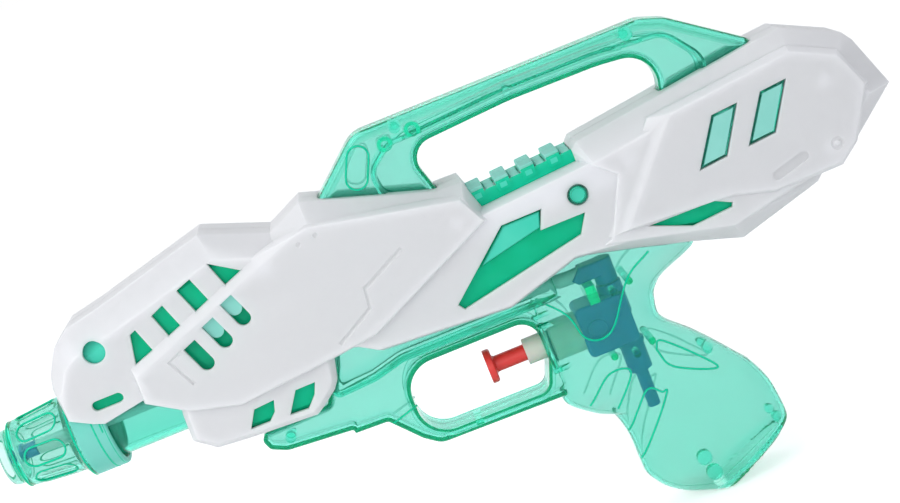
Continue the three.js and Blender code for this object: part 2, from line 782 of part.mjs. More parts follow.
function railTeeth(grow) {
  const teeth = [];
  for (let i = 0; i < TOOTH_COUNT; i++) {
    const middle = TOOTH_FIRST + i * TOOTH_PITCH;
    const foot = TOOTH_LENGTH / 2 + grow;
    const top = foot - TOOTH_SLOPE;
    const outline = [
      [middle - foot, RAIL_TOP - TANK_WALL / 2],
      [middle + foot, RAIL_TOP - TANK_WALL / 2],
      [middle + foot, RAIL_TOP + grow],
      [middle + top, RAIL_TOP + TOOTH_HEIGHT + grow],
      [middle - top, RAIL_TOP + TOOTH_HEIGHT + grow],
      [middle - foot, RAIL_TOP + grow],
    ];
    teeth.push(prism(outline, RAIL_HALF_WIDTH - FIT_GAP + grow));
  }
  return union(...teeth);
}

function paneForms(grow) {
  const rearFace = RAISED_FACE - PANE_SETBACK + grow;
  return union(
    ...REAR_PANES.map((outline) => prism(offsetOutline(outline, grow), rearFace)),
    prism(offsetOutline(MIDDLE_PANE, grow), MIDDLE_PANE_FACE - PANE_SETBACK + grow),
    prism(circle(PEG, PEG_RADIUS + grow), CENTRE_FACE + PEG_PROUD + grow),
  );
}

// The tank's form, grown or shrunk all round: its outside, its hollow, or the room it needs.
function tankForm(grow) {
  const inset = grow - SHELL_WALL - SHELL_GAP;
  let form = union(
    plate(FRONT_OUTLINE, SHELL_SHOULDER, FRONT_FACE, inset),
    plate(CENTRE_OUTLINE, SHELL_SHOULDER, CENTRE_FACE, inset),
    plate(REAR_OUTLINE, SHELL_SHOULDER, REAR_FACE, inset),
    plate(LUG_OUTLINE, LUG_SHOULDER, LUG_FACE, inset),
  );
  const sweep = skirtRadius + SKIRT_SWEEP - grow;
  form = form.subtract(turnedX(rodProfile(-BEYOND, skirtEnd + SKIRT_SWEEP - grow, sweep)));
  const barrel = grow < 0 ? barrelBore : BARREL_RADIUS + grow;
  const barrelEnd = barrelStart + BARREL_LENGTH;
  form = union(
    form,
    turnedX(rodProfile(grow < 0 ? neckEnd - BEYOND : barrelStart, barrelEnd, barrel)),
    softPrism(rounded(HANDLE_OUTLINE), HANDLE_HALF_WIDTH, HANDLE_EDGE, grow),
    guardForm(grow),
    softPrism(rounded(FRONT_BLOCK), FRONT_BLOCK_HALF_WIDTH, FRONT_BLOCK_EDGE, grow),
    gripForm(grow),
    housingForm(grow),
    railForm(grow),
    paneForms(grow),
  );
  const screwRoom = SCREW_POST_RADIUS + SHELL_GAP - grow;
  for (const place of SCREW_PLACES) {
    form = form.subtract(turnedY(rodProfile(-BEYOND, BEYOND, screwRoom), place, PIN_SIDES));
  }
  return form;
}

// Pins, posts and stays that the tank halves carry inside.
function tankInsides() {
  const reach = RAISED_FACE;
  const postDepth = HANDLE_HALF_WIDTH - TANK_WALL;
  const ribStart = blockFront + RIB_BEHIND_FRONT;
  const ribFoot = blockTop + FIT_GAP;
  const rib = block([ribStart, -reach, ribFoot], [ribStart + RIB_WIDTH, reach, ribFoot + RIB_HEIGHT]);
  const besideNeck = VALVE_NECK_RADIUS + STAY_RADIUS + 2 * FIT_GAP;
  const besideStub = STUB_RADIUS + STUB_COLLAR_PROUD + STAY_RADIUS + FIT_GAP;
  const underBlock = blockBottom - STAY_RADIUS - FIT_GAP;
  const stays = [
    [valveAxis + besideNeck, blockTop + VALVE_NECK_HEIGHT],
    [valveAxis - besideStub - STAY_RADIUS, underBlock],
    [valveAxis + besideStub, underBlock],
  ];
  const neckStays = [
    [VALVE_NECK_RADIUS, (blockTop + neckTop) / 2],
    [STUB_RADIUS, stubTop - STAY_RADIUS - FIT_GAP],
  ];
  const pads = neckStays.flatMap(([radius, height]) => {
    return [-1, 1].map((side) => {
      const start = side * (radius + FIT_GAP);
      const ends = [start, side * reach].sort((a, b) => a - b);
      return turnedY(rodProfile(...ends, STAY_RADIUS), [valveAxis, height], PIN_SIDES);
    });
  });
  const posts = POSTS.map((place) => {
    const outside = turnedY(rodProfile(-reach, reach, POST_OUTER), place);
    return outside.subtract(turnedY(rodProfile(-postDepth, postDepth, POST_BORE), place));
  });
  return union(
    rib,
    ...WELD_PINS.map(([x, z, radius]) => turnedY(rodProfile(-reach, reach, radius), [x, z], PIN_SIDES)),
    ...stays.map((place) => turnedY(rodProfile(-reach, reach, STAY_RADIUS), place, PIN_SIDES)),
    ...pads,
    ...posts,
  );
}

function makeTank() {
  const outside = tankForm(0);
  const insides = tankInsides().intersect(outside);
  const neck = turnedX(rodProfile(neckEnd, barrelStart + NECK_STEP, neckRadius));
  const neckThread = thread(neckThreadStart, NECK_THREAD_TURNS, neckRadius - TANK_WALL / 2, neckCrest);
  const bore = turnedX(rodProfile(neckEnd - FIT_GAP, barrelStart + BEYOND / 2, barrelBore));
  const cylinderHole = turnedX(
    rodProfile(cylinderNose, cylinderShoulder, CYLINDER_NOSE_RADIUS + FIT_GAP),
    PUMP_AXIS,
  );
  return union(outside, neck, neckThread)
    .subtract(tankForm(-TANK_WALL))
    .subtract(bore)
    .add(insides)
    .add(railTeeth(0))
    .subtract(cylinderHole);
}

// Covers

function coverForm(grow) {
  return union(
    plate(FRONT_OUTLINE, SHELL_SHOULDER, FRONT_FACE, grow),
    plate(CENTRE_OUTLINE, SHELL_SHOULDER, CENTRE_FACE, grow),
    plate(REAR_OUTLINE, SHELL_SHOULDER, REAR_FACE, grow),
    plate(LUG_OUTLINE, LUG_SHOULDER, LUG_FACE, grow),
    raisedPanel(RAISED_FRONT, RAISED_FOOT, RAISED_FACE, grow),
    raisedPanel(RAISED_REAR, RAISED_FOOT, RAISED_FACE, grow),
  );
}

function coverWindows() {
  const halfRun = (OBLONG_LENGTH - OBLONG_HEIGHT) / 2;
  const oblong = stadium([OBLONG_SLOT[0] - halfRun, OBLONG_SLOT[1]], [2 * halfRun, 0], OBLONG_HEIGHT);
  const fingers = Array.from({ length: FINGER_SLOT_COUNT }, (_, i) => {
    const end = FINGER_SLOT_END.map((value, axis) => value + i * FINGER_SLOT_STEP[axis]);
    return stadium(end, FINGER_SLOT_RUN, FINGER_SLOT_WIDTH);
  });
  const outlines = [
    circle(SPY_HOLE, SPY_HOLE_RADIUS),
    oblong,
    ...fingers,
    ...UPPER_SLOTS,
    MIDDLE_WINDOW,
    REAR_SLOT,
    ...LUG_SLOTS,
    ...REAR_PANES.map((pane) => offsetOutline(pane, OPENING_GAP)),
  ];
  return union(...outlines.map((outline) => prism(outline, BEYOND)));
}

function makeCovers() {
  const outside = coverForm(0);
  const sweep = turnedX(rodProfile(-BEYOND, skirtEnd + SKIRT_SWEEP, skirtRadius + SKIRT_SWEEP));
  const seatOutline = (radius) => rodProfile(SCREW_SEAT, BEYOND, radius);
  let covers = outside
    .subtract(coverForm(-SHELL_WALL))
    .subtract(coverWindows())
    .subtract(sweep)
    .subtract(tankForm(OPENING_GAP))
    .subtract(railTeeth(OPENING_GAP));
  for (const place of SCREW_PLACES) {
    const post = turnedY(rodProfile(-RAISED_FACE, RAISED_FACE, SCREW_POST_RADIUS), place).intersect(outside);
    const holeEnd = SCREW_SEAT - SCREW_LENGTH - 2 * FIT_GAP;
    const hole = rodProfile(holeEnd, SCREW_SEAT + FIT_GAP, SCREW_RADIUS + FIT_GAP);
    covers = covers
      .add(post)
      .subtract(turnedY(hole, place))
      .subtract(turnedY(seatOutline(SCREW_HEAD_RADIUS + FIT_GAP), place));
  }
  return covers;
}

function makeScrew(place) {
  const head = SCREW_SEAT + FIT_GAP;
  const top = head + SCREW_HEAD_HEIGHT;
  const profile = [
    [SCREW_SEAT - SCREW_LENGTH, 0],
    [SCREW_SEAT - SCREW_LENGTH + SCREW_RADIUS, SCREW_RADIUS],
    [head, SCREW_RADIUS],
    [head, SCREW_HEAD_RADIUS],
    [top - SCREW_HEAD_HEIGHT / 3, SCREW_HEAD_RADIUS],
    [top, SCREW_HEAD_RADIUS * SCREW_HEAD_TOP],
    [top, 0],
  ];
  const [x, z] = place;
  const half = SCREW_DRIVE_WIDTH / 2;
  const arm = SCREW_HEAD_RADIUS * SCREW_DRIVE_REACH;
  const floor = top - SCREW_DRIVE_DEPTH;
  return turnedY(profile, place, SMALL_SIDES)
    .subtract(block([x - half, floor, z - arm], [x + half, top + FIT_GAP, z + arm]))
    .subtract(block([x - arm, floor, z - half], [x + arm, top + FIT_GAP, z + half]));
}

// Front cap and what it holds

function makeCap() {
  const ringBore = CAP_RING_RADIUS - CAP_RING_WALL;
  const holeRadius = NOZZLE_TIP_RADIUS + FIT_GAP;
  const frontHollow = CAP_FRONT_RADIUS - CAP_WALL - RECESS_DEPTH;
  const rearHollow = CAP_REAR_RADIUS - CAP_WALL - RECESS_DEPTH;
  const skirtRound = SKIRT_EDGE * SKIRT_EDGE_ROUND;
  let cap = turnedX([
    [CAP_RING_DEPTH, holeRadius],
    [CAP_RING_DEPTH, ringBore],
    [CAP_RING_WALL / 2, ringBore],
    [0, ringBore + CAP_RING_WALL / 2],
    [CAP_RING_WALL / 2, CAP_RING_RADIUS],
    [CAP_RING_LENGTH - CAP_WALL, CAP_RING_RADIUS],
    [CAP_RING_LENGTH, CAP_FRONT_RADIUS],
    [skirtStart - CAP_WALL, CAP_REAR_RADIUS],
    [skirtStart, skirtRadius - SKIRT_EDGE / 2],
    [skirtStart + SKIRT_EDGE / 2, skirtRadius],
    [skirtEnd - SKIRT_EDGE, skirtRadius],
    [skirtEnd - skirtRound, skirtRadius - skirtRound],
    [skirtEnd, skirtRadius - SKIRT_EDGE],
    [skirtEnd, skirtBore],
    [capShoulder, skirtBore],
    [capShoulder, rearHollow],
    [capCavityStart, frontHollow],
    [capCavityStart, holeRadius],
    [CAP_RING_DEPTH, holeRadius],
  ]);
  const slope = Math.atan2(CAP_REAR_RADIUS - CAP_FRONT_RADIUS, CAP_GRIP_LENGTH - CAP_WALL);
  const middle = CAP_RING_LENGTH + CAP_GRIP_LENGTH / 2;
  const surface = (CAP_FRONT_RADIUS + CAP_REAR_RADIUS) / 2;
  for (let i = 0; i < RECESS_COUNT; i++) {
    const recess = new THREE.SphereGeometry(1, RECESS_SIDES, RECESS_RINGS);
    recess.scale(RECESS_LENGTH / 2, RECESS_WIDTH / 2, RECESS_DEPTH);
    recess.rotateY(-slope);
    recess.translate(middle, 0, surface);
    recess.rotateX((2 * Math.PI * i) / RECESS_COUNT);
    cap = cap.subtract(solid(recess));
  }
  const start = neckThreadStart + THREAD_PITCH / 2;
  return cap.add(thread(start, CAP_THREAD_TURNS, skirtBore + SKIRT_WALL / 2, skirtBore - THREAD_DEPTH));
}

function makeCapGasket() {
  const outer = skirtBore - FIT_GAP;
  return turnedX(ringProfile(gasketStart, gasketEnd, outer - GASKET_WIDTH, outer));
}

function makeNozzleHolder() {
  const rim = barrelBore - FIT_GAP;
  const hubBore = TUBE_RADIUS + FIT_GAP;
  const hub = hubBore + HOLDER_HUB_WALL;
  const end = holderStart + HOLDER_DEPTH;
  const spokes = [];
  for (let i = 0; i < HOLDER_SPOKES; i++) {
    const inner = hub - HOLDER_HUB_WALL / 2;
    const outer = rim - HOLDER_RIM / 2;
    const spoke = new THREE.BoxGeometry(HOLDER_DEPTH - FIT_GAP, outer - inner, HOLDER_SPOKE_WIDTH);
    spoke.translate(holderStart + HOLDER_DEPTH / 2, (outer + inner) / 2, 0);
    spoke.rotateX((2 * Math.PI * i) / HOLDER_SPOKES);
    spokes.push(solid(spoke));
  }
  const outside = union(
    turnedX([
      [holderStart, rim - HOLDER_RIM],
      [holderStart, neckRadius],
      [holderStart + HOLDER_FLANGE, neckRadius],
      [holderStart + HOLDER_FLANGE, rim],
      [end, rim],
      [end, rim - HOLDER_RIM],
      [holderStart, rim - HOLDER_RIM],
    ]),
    turnedX(rodProfile(holderStart, end, hub), 0, SMALL_SIDES),
    ...spokes,
  );
  return outside.subtract(turnedX(rodProfile(0, end + FIT_GAP, hubBore), 0, SMALL_SIDES));
}

function makeNozzle() {
  const barbEnd = nozzleBarbStart + BARB_LENGTH;
  const tip = nozzleFlangeStart - NOZZLE_TIP_LENGTH;
  return turnedX(
    [
      [tip, JET_RADIUS],
      [tip, NOZZLE_TIP_RADIUS],
      [nozzleFlangeStart, NOZZLE_TIP_RADIUS],
      [nozzleFlangeStart, NOZZLE_FLANGE_RADIUS],
      [nozzleShankStart, NOZZLE_FLANGE_RADIUS],
      [nozzleShankStart, shankRadius],
      [nozzleBarbStart, shankRadius],
      [nozzleBarbStart, barbRadius],
      [barbEnd, barbRadius],
      [barbEnd, JET_RADIUS],
      [tip, JET_RADIUS],
    ],
    0,
    SMALL_SIDES,
  );
}

// The tube runs along the barrel, then down to the arm of the pump's elbow.
function makeDeliveryTube() {
  const tubeEnd = armEnd - FIT_GAP;
  const run = tubeEnd - neckEnd;
  const route = new THREE.CatmullRomCurve3([
    new THREE.Vector3(tubeStart, 0, 0),
    new THREE.Vector3(neckEnd, 0, 0),
    ...TUBE_ROUTE.map(([along, drop]) => new THREE.Vector3(neckEnd + run * along, 0, armHeight * drop)),
    new THREE.Vector3(tubeEnd - BARB_LENGTH - ELBOW_ARM_RADIUS, 0, armHeight),
    new THREE.Vector3(tubeEnd, 0, armHeight),
  ]);
  const ring = (radius) => circle([0, 0], radius, TUBE_SIDES).map(([x, z]) => new THREE.Vector2(x, z));
  const section = new THREE.Shape(ring(TUBE_RADIUS));
  section.holes.push(new THREE.Path(ring(TUBE_BORE)));
  const sweep = { steps: TUBE_STEPS, extrudePath: route, bevelEnabled: false };
  return solid(new THREE.ExtrudeGeometry(section, sweep));
}

// Pump

function makeCylinder() {
  const guide = TRIGGER_STEM_RADIUS + FIT_GAP;
  const boreStart = cylinderShoulder + CYLINDER_END_WALL;
  return turnedX(
    [
      [cylinderNose, guide],
      [cylinderNose, CYLINDER_NOSE_RADIUS],
      [cylinderShoulder, CYLINDER_NOSE_RADIUS],
      [cylinderShoulder, CYLINDER_RADIUS - CYLINDER_BEVEL],
      [cylinderShoulder + CYLINDER_BEVEL, CYLINDER_RADIUS],
      [cylinderEnd, CYLINDER_RADIUS],
      [cylinderEnd, CYLINDER_BORE],
      [boreStart, CYLINDER_BORE],
      [boreStart, guide],
      [cylinderNose, guide],
    ],
    PUMP_AXIS,
    2 * SMALL_SIDES,
  );
}

function makeCylinderGasket() {
  const start = tankFront + FIT_GAP;
  const inner = CYLINDER_NOSE_RADIUS + FIT_GAP;
  const profile = ringProfile(start, start + CYLINDER_GASKET, inner, CYLINDER_RADIUS);
  return turnedX(profile, PUMP_AXIS, 2 * SMALL_SIDES);
}

function makePlunger() {
  const discFront = discRear - TRIGGER_DISC_LENGTH;
  const round = TRIGGER_DISC_LENGTH / 3;
  const grooveStart = pistonFront + (PISTON_LENGTH - SEAL_WIDTH) / 2;
  const grooveEnd = grooveStart + SEAL_WIDTH;
  const groove = pistonRadius - SEAL_DEPTH;
  return turnedX(
    [
      [discFront, 0],
      [discFront, TRIGGER_DISC_RADIUS - round],
      [discFront + round, TRIGGER_DISC_RADIUS],
      [discRear - round, TRIGGER_DISC_RADIUS],
      [discRear, TRIGGER_DISC_RADIUS - round],
      [discRear, TRIGGER_STEM_RADIUS],
      [pistonFront, TRIGGER_STEM_RADIUS],
      [pistonFront, pistonRadius],
      [grooveStart, pistonRadius],
      [grooveStart, groove],
      [grooveEnd, groove],
      [grooveEnd, pistonRadius],
      [pistonRear, pistonRadius],
      [pistonRear, SPRING_PIN_RADIUS],
      [pistonRear + SPRING_PIN_LENGTH, SPRING_PIN_RADIUS],
      [pistonRear + SPRING_PIN_LENGTH, 0],
    ],
    PUMP_AXIS,
    2 * SMALL_SIDES,
  );
}

function makePistonSeal() {
  const middle = (pistonFront + pistonRear) / 2;
  const half = SEAL_WIDTH / 2 - SEAL_PLAY;
  const inner = pistonRadius - SEAL_DEPTH + SEAL_PLAY;
  const profile = ringProfile(middle - half, middle + half, inner, CYLINDER_BORE - SEAL_PLAY);
  return turnedX(profile, PUMP_AXIS, 2 * SMALL_SIDES);
}

function makeSpring() {
  const steps = SPRING_TURNS * SPRING_STEPS;
  const first = springStart + SPRING_WIRE;
  const run = springEnd - springStart - 2 * SPRING_WIRE;
  const centres = [];
  const rings = [];
  for (let k = 0; k <= steps; k++) {
    const angle = (2 * Math.PI * k) / SPRING_STEPS;
    const x = first + (run * k) / steps;
    centres.push(new THREE.Vector3(x, SPRING_RADIUS * Math.cos(angle), SPRING_RADIUS * Math.sin(angle)));
    const ring = [];
    for (let side = 0; side < SPRING_SIDES; side++) {
      const round = (2 * Math.PI * side) / SPRING_SIDES;
      const radius = SPRING_RADIUS + SPRING_WIRE * Math.cos(round);
      const along = x + SPRING_WIRE * Math.sin(round);
      ring.push([along, radius * Math.cos(angle), PUMP_AXIS + radius * Math.sin(angle)]);
    }
    rings.push(ring);
  }
  let leastGap = Infinity;
  for (let i = 0; i < centres.length; i++) {
    for (let k = i + SPRING_STEPS / 2; k < centres.length; k++) {
      leastGap = Math.min(leastGap, centres[i].distanceTo(centres[k]) - 2 * SPRING_WIRE);
    }
  }
  console.log(`trigger_spring: least gap to itself ${leastGap.toFixed(2)} mm`);
  return skin(rings, fanFaces(SPRING_SIDES));
}

function makePumpBody() {
  const corner = BLOCK_CORNER;
  const rear = blockFront + BLOCK_LENGTH;
  const outline = rounded([
    [blockFront, blockTop, corner],
    [blockFront, blockBottom, corner],
    [rear, blockBottom, corner],
    [rear, blockTop, corner],
  ]);
  const bossPlace = [blockFront + BOSS_BEHIND_FRONT, PUMP_AXIS];
  const spigotRoom = rodProfile(blockBottom - FIT_GAP, spigotTop + FIT_GAP, spigotRadius + FIT_GAP);
  const bossReach = BLOCK_HALF_WIDTH + BOSS_PROUD;
  const socketEnd = cylinderEnd + FIT_GAP;
  const throatBottom = outletThroatTop - THROAT_LENGTH;
  return union(
    softPrism(outline, BLOCK_HALF_WIDTH, BLOCK_EDGE),
    turnedY(rodProfile(-bossReach, bossReach, BOSS_RADIUS), bossPlace),
    turnedZ(rodProfile(PUMP_AXIS, neckTop, VALVE_NECK_RADIUS), valveAxis),
  )
    .subtract(turnedX(rodProfile(blockFront - FIT_GAP, socketEnd, CYLINDER_RADIUS + FIT_GAP), PUMP_AXIS))
    .subtract(turnedX(rodProfile(socketEnd - FIT_GAP, chamberEnd, CHAMBER_RADIUS), PUMP_AXIS, SMALL_SIDES))
    .subtract(turnedX(rodProfile(chamberEnd - FIT_GAP, valveAxis, PASSAGE_RADIUS), PUMP_AXIS, SMALL_SIDES))
    .subtract(turnedZ(rodProfile(blockBottom, throatBottom + FIT_GAP, PASSAGE_RADIUS), valveAxis))
    .subtract(turnedZ(rodProfile(throatBottom, outletThroatTop, THROAT_RADIUS), valveAxis))
    .subtract(turnedZ(rodProfile(outletThroatTop - FIT_GAP / 2, neckTop + FIT_GAP, cageRadius), valveAxis))
    .subtract(turnedZ(spigotRoom, valveAxis));
}

function makeElbow() {
  const barbEnd = armEnd - BARB_LENGTH;
  const column = union(
    turnedZ(rodProfile(elbowBottom, elbowTop, ELBOW_RADIUS), valveAxis),
    turnedX(rodProfile(armEnd, valveAxis, ELBOW_ARM_RADIUS), armHeight, SMALL_SIDES),
    turnedX(rodProfile(barbEnd, armEnd + FIT_GAP, barbRadius), armHeight, SMALL_SIDES),
  );
  return column
    .subtract(turnedZ(rodProfile(elbowBottom - FIT_GAP, armHeight, PASSAGE_RADIUS), valveAxis))
    .subtract(turnedX(rodProfile(barbEnd - FIT_GAP, valveAxis, JET_RADIUS), armHeight, SMALL_SIDES));
}

function makeInletFitting() {
  const socket = PIPE_RADIUS + FIT_GAP;
  const collar = STUB_RADIUS + STUB_COLLAR_PROUD;
  return turnedZ(
    [
      [stubBottom, socket],
      [stubBottom, STUB_RADIUS - FIT_GAP],
      [stubBottom + FIT_GAP, STUB_RADIUS],
      [stubTop, STUB_RADIUS],
      [stubTop, collar],
      [collarTop, collar],
      [collarTop, spigotRadius],
      [spigotTop, spigotRadius],
      [spigotTop, cageRadius],
      [inletThroatTop, cageRadius],
      [inletThroatTop, THROAT_RADIUS],
      [stubBottom + PIPE_SOCKET, THROAT_RADIUS],
      [stubBottom + PIPE_SOCKET, socket],
      [stubBottom, socket],
    ],
    valveAxis,
  );
}

function makeSuctionPipe() {
  const top = stubBottom + PIPE_SOCKET - FIT_GAP;
  return turnedZ(ringProfile(PIPE_END, top, PIPE_BORE, PIPE_RADIUS), valveAxis);
}

function makeBall(throatTop) {
  const ball = new THREE.SphereGeometry(BALL_RADIUS, SMALL_SIDES, BALL_RINGS);
  return solid(ball.translate(valveAxis, 0, throatTop + ballSeat));
}

// Materials

function plastic(color, roughness, opacity = 1) {
  const transparent = opacity < 1;
  return new THREE.MeshStandardMaterial({ color, roughness, metalness: 0, opacity, transparent });
}

const materials = {
  greenTank: plastic(0x5fd6b4, 0.18, 0.6),
  whiteShell: plastic(0xdadbe3, 0.45),
  bluePump: plastic(0x0a7f95, 0.4),
  redTrigger: plastic(0xcd3a32, 0.35),
  naturalCylinder: plastic(0xd6ddd2, 0.4),
  clearTube: plastic(0xd8e6e2, 0.3, 0.6),
  blackRubber: plastic(0x202224, 0.8),
  steel: new THREE.MeshStandardMaterial({ color: 0xb9bcc0, roughness: 0.3, metalness: 1 }),
};

// Assembly

const squirter = new THREE.Group();

function addPart(name, body, material) {
  const cut = body.getMesh();
  const geometry = new THREE.BufferGeometry();
  geometry.setAttribute("position", new THREE.BufferAttribute(new Float32Array(cut.vertProperties), 3));
  geometry.setIndex(new THREE.BufferAttribute(new Uint32Array(cut.triVerts), 1));
  geometry.computeVertexNormals();
  const mesh = new THREE.Mesh(geometry, material);
  mesh.name = name;
  squirter.add(mesh);
}

const tank = makeTank();
const covers = makeCovers();
const leftSide = halfSpace(-1);
const rightSide = halfSpace(1);

addPart("tank_left_half", tank.intersect(leftSide), materials.greenTank);
addPart("tank_right_half", tank.intersect(rightSide), materials.greenTank);
addPart("left_shell", covers.intersect(leftSide), materials.whiteShell);
addPart("right_shell", covers.intersect(rightSide), materials.whiteShell);
SCREW_PLACES.forEach((place, i) => {
  addPart(`shell_screw_${i + 1}`, makeScrew(place), materials.steel);
});
addPart("front_cap", makeCap(), materials.greenTank);
addPart("cap_gasket", makeCapGasket(), materials.blackRubber);
addPart("nozzle_holder", makeNozzleHolder(), materials.greenTank);
addPart("nozzle", makeNozzle(), materials.bluePump);
addPart("delivery_tube", makeDeliveryTube(), materials.clearTube);
addPart("pump_body", makePumpBody(), materials.bluePump);
addPart("pump_cylinder", makeCylinder(), materials.naturalCylinder);
addPart("cylinder_gasket", makeCylinderGasket(), materials.blackRubber);
addPart("trigger_plunger", makePlunger(), materials.redTrigger);
addPart("piston_seal", makePistonSeal(), materials.blackRubber);
addPart("trigger_spring", makeSpring(), materials.steel);
addPart("outlet_elbow", makeElbow(), materials.bluePump);
addPart("inlet_fitting", makeInletFitting(), materials.bluePump);
addPart("inlet_ball", makeBall(inletThroatTop), materials.steel);
addPart("outlet_ball", makeBall(outletThroatTop), materials.steel);
addPart("suction_pipe", makeSuctionPipe(), materials.bluePump);

const box = new THREE.Box3().setFromObject(squirter);
const middle = box.getCenter(new THREE.Vector3());
squirter.position.set(-middle.x, -middle.y, -box.min.z);

export default squirter;
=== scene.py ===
"""A toy water squirter: see-through green tank, white covers, screw cap and trigger pump."""

import math

import bmesh
import bpy
from mathutils import Matrix, Vector


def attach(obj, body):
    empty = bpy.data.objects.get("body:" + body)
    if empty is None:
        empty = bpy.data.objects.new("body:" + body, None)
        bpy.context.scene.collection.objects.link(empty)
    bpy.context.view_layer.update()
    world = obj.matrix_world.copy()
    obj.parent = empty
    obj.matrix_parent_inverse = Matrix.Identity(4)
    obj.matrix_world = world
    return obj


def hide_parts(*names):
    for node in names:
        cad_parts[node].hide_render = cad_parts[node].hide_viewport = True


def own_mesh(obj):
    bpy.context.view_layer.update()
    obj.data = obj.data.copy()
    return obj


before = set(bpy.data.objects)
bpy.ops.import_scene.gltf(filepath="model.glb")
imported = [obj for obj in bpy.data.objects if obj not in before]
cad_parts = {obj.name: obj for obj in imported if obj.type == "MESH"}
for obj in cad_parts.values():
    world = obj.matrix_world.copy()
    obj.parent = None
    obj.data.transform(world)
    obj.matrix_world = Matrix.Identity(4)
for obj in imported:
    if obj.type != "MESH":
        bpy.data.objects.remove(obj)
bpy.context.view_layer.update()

MM = 0.001
DATUM_X = 190.95  # the muzzle's distance in front of the origin
DATUM_Z = 122.9  # the barrel axis above the origin

# Fineness
ARC_STEP = math.pi / 24
EDGE_STEPS = 6
ROUND_STEPS = 4
PANE_EDGE_STEPS = 1
END_STEPS = 12  # in the round end of a slot
LARGE_SIDES = 96
SMALL_SIDES = 48
PIN_SIDES = 28
MARK_SIDES = 16
LINE_SIDES = 12
LINE_STEPS = 10
TUBE_STEPS = 12
DIMPLE_STEPS = 12
BALL_STEPS = 20
SHARP_ANGLE = 30  # edges that turn by more degrees stay sharp
COVER_SHARP_ANGLE = 24
ROUNDING_ROOM = 0.4  # share of an edge that a rounding may take
FLAT_CORNER = math.radians(82)  # half the angle of a corner that stays as it is
SAME_PLACE = 1e-4
SLIVER = 1e-5
TURNED_BACK = -1e-6
PARALLEL = 1e-9
BEYOND = 60  # how far cutting pieces reach past what they cut
SLAB = ((-120, -240), (480, 180))  # corners (x, z) of slabs that reach past the whole object
SIDES = ((-1, "left"), (1, "right"))

# Sizes in millimetres: x back from the muzzle, z up from the barrel axis, y across
SEAM_GAP = 0.3
WELD_PLAY = 0.03  # between the weld in the seam and each half
FIT_GAP = 0.3
SHELL_GAP = 1
OPENING_GAP = 0.4
SHELL_WALL = 2
TANK_WALL = 1.6
PLASTIC_EDGE = 0.35  # usual rounding of a turned piece's edges

# Barrel neck and screw cap
BARREL_RADIUS = 16
BARREL_LENGTH = 53.7
NECK_STEP = 0.8
THREAD_DEPTH = 1
THREAD_CLEARANCE = 0.6
THREAD_PITCH = 3
NECK_THREAD_TURNS = 2
CAP_THREAD_TURNS = 1.5
THREAD_ROOT_WIDTH = 1.3
THREAD_CREST_WIDTH = 0.7
THREAD_PHASE = 0.3  # turns a thread by this share of a step
THREAD_RAMP = 4.5  # how fast a thread grows from its ends, in heights a turn
THREAD_END = 0.12  # share of its height at the ends
THREAD_RUN_IN = 1.6
SKIRT_WALL = 2.4
SKIRT_LENGTH = 14.7
SKIRT_EDGE = 2
SKIRT_SWEEP = 1
CAP_WALL = 1.8
CAP_GRIP_LENGTH = 24.9
CAP_FRONT_RADIUS = 13.7
CAP_REAR_RADIUS = 16
CAP_RING_LENGTH = 6.4
CAP_RING_RADIUS = 11.5
CAP_RING_WALL = 1.9
CAP_RING_DEPTH = 4.2
CAP_RIM_RUN = 3.6
CAP_RIM_FLAT = 0.4
RECESS_COUNT = 8
RECESS_LENGTH = 17
RECESS_WIDTH = 8
RECESS_DEPTH = 0.9
RECESS_ROOM = 1
RECESS_TAPER = 0.3
SKIRT_SKIN = 0.3  # the layer of painted light on the skirt
GASKET_THICKNESS = 1.2
GASKET_WIDTH = 2.4
GASKET_EDGE = 0.3

# Nozzle, its holder and the delivery tube
NOZZLE_TIP_RADIUS = 2.4
NOZZLE_TIP_LENGTH = 2.5
NOZZLE_FLANGE_RADIUS = 3.8
NOZZLE_FLANGE_LENGTH = 1.5
NOZZLE_SHANK_LENGTH = 5.2
BARB_LENGTH = 6
JET_RADIUS = 0.7
TUBE_RADIUS = 3
TUBE_BORE = 2
TUBE_ROUTE = [(0.28, 0), (0.52, 0), (0.69, 0.35), (0.85, 0.85)]  # shares of its run and of its drop
HOLDER_FLANGE = 1.2
HOLDER_RIM = 1.2
HOLDER_DEPTH = 5
HOLDER_HUB_WALL = 1.5
HOLDER_SPOKES = 3
HOLDER_SPOKE_WIDTH = 2

# White covers. Each outline runs anticlockwise as (x, z, width of the sloping band on the next edge)
SHELL_SHOULDER = 12
FRONT_FACE = 22
CENTRE_FACE = 21
REAR_FACE = 22
LUG_FACE = 20.5
LUG_SHOULDER = 17
RAISED_FACE = 24
RAISED_FOOT = 20.5
EDGE_DROP = 0.5  # the rounded edge of a face starts this far below it
EDGE_RUN = 0.8  # and ends this far inside its outline
WINDOW_EDGE = 0.4
FRONT_OUTLINE = [
    (41.5, 3.5, 2), (46.5, 1.5, 2), (64, 4.5, 2), (78, -6.5, 2), (99, -12, 2), (138, -8.5, 2),
    (158, -6, 2.5), (215.4, 23, 3), (210.5, 37.8, 4.5), (200.4, 38, 7), (148.8, 54.4, 7),
    (134, 47.5, 8), (107.5, 57.5, 10), (60.5, 45.5, 10), (46, 42.5, 8), (38.5, 37, 6),
    (33, 27.5, 4), (31.5, 22, 3), (31.5, 9, 2),
]
CENTRE_OUTLINE = [
    (141, -6, 2), (148.5, -8, 2), (157.4, -13.5, 3), (211, -17, 3), (241.4, -8.2, 3),
    (272, -12, 2), (272, 25, 9), (190, 25, 2), (160, 8, 2),
]
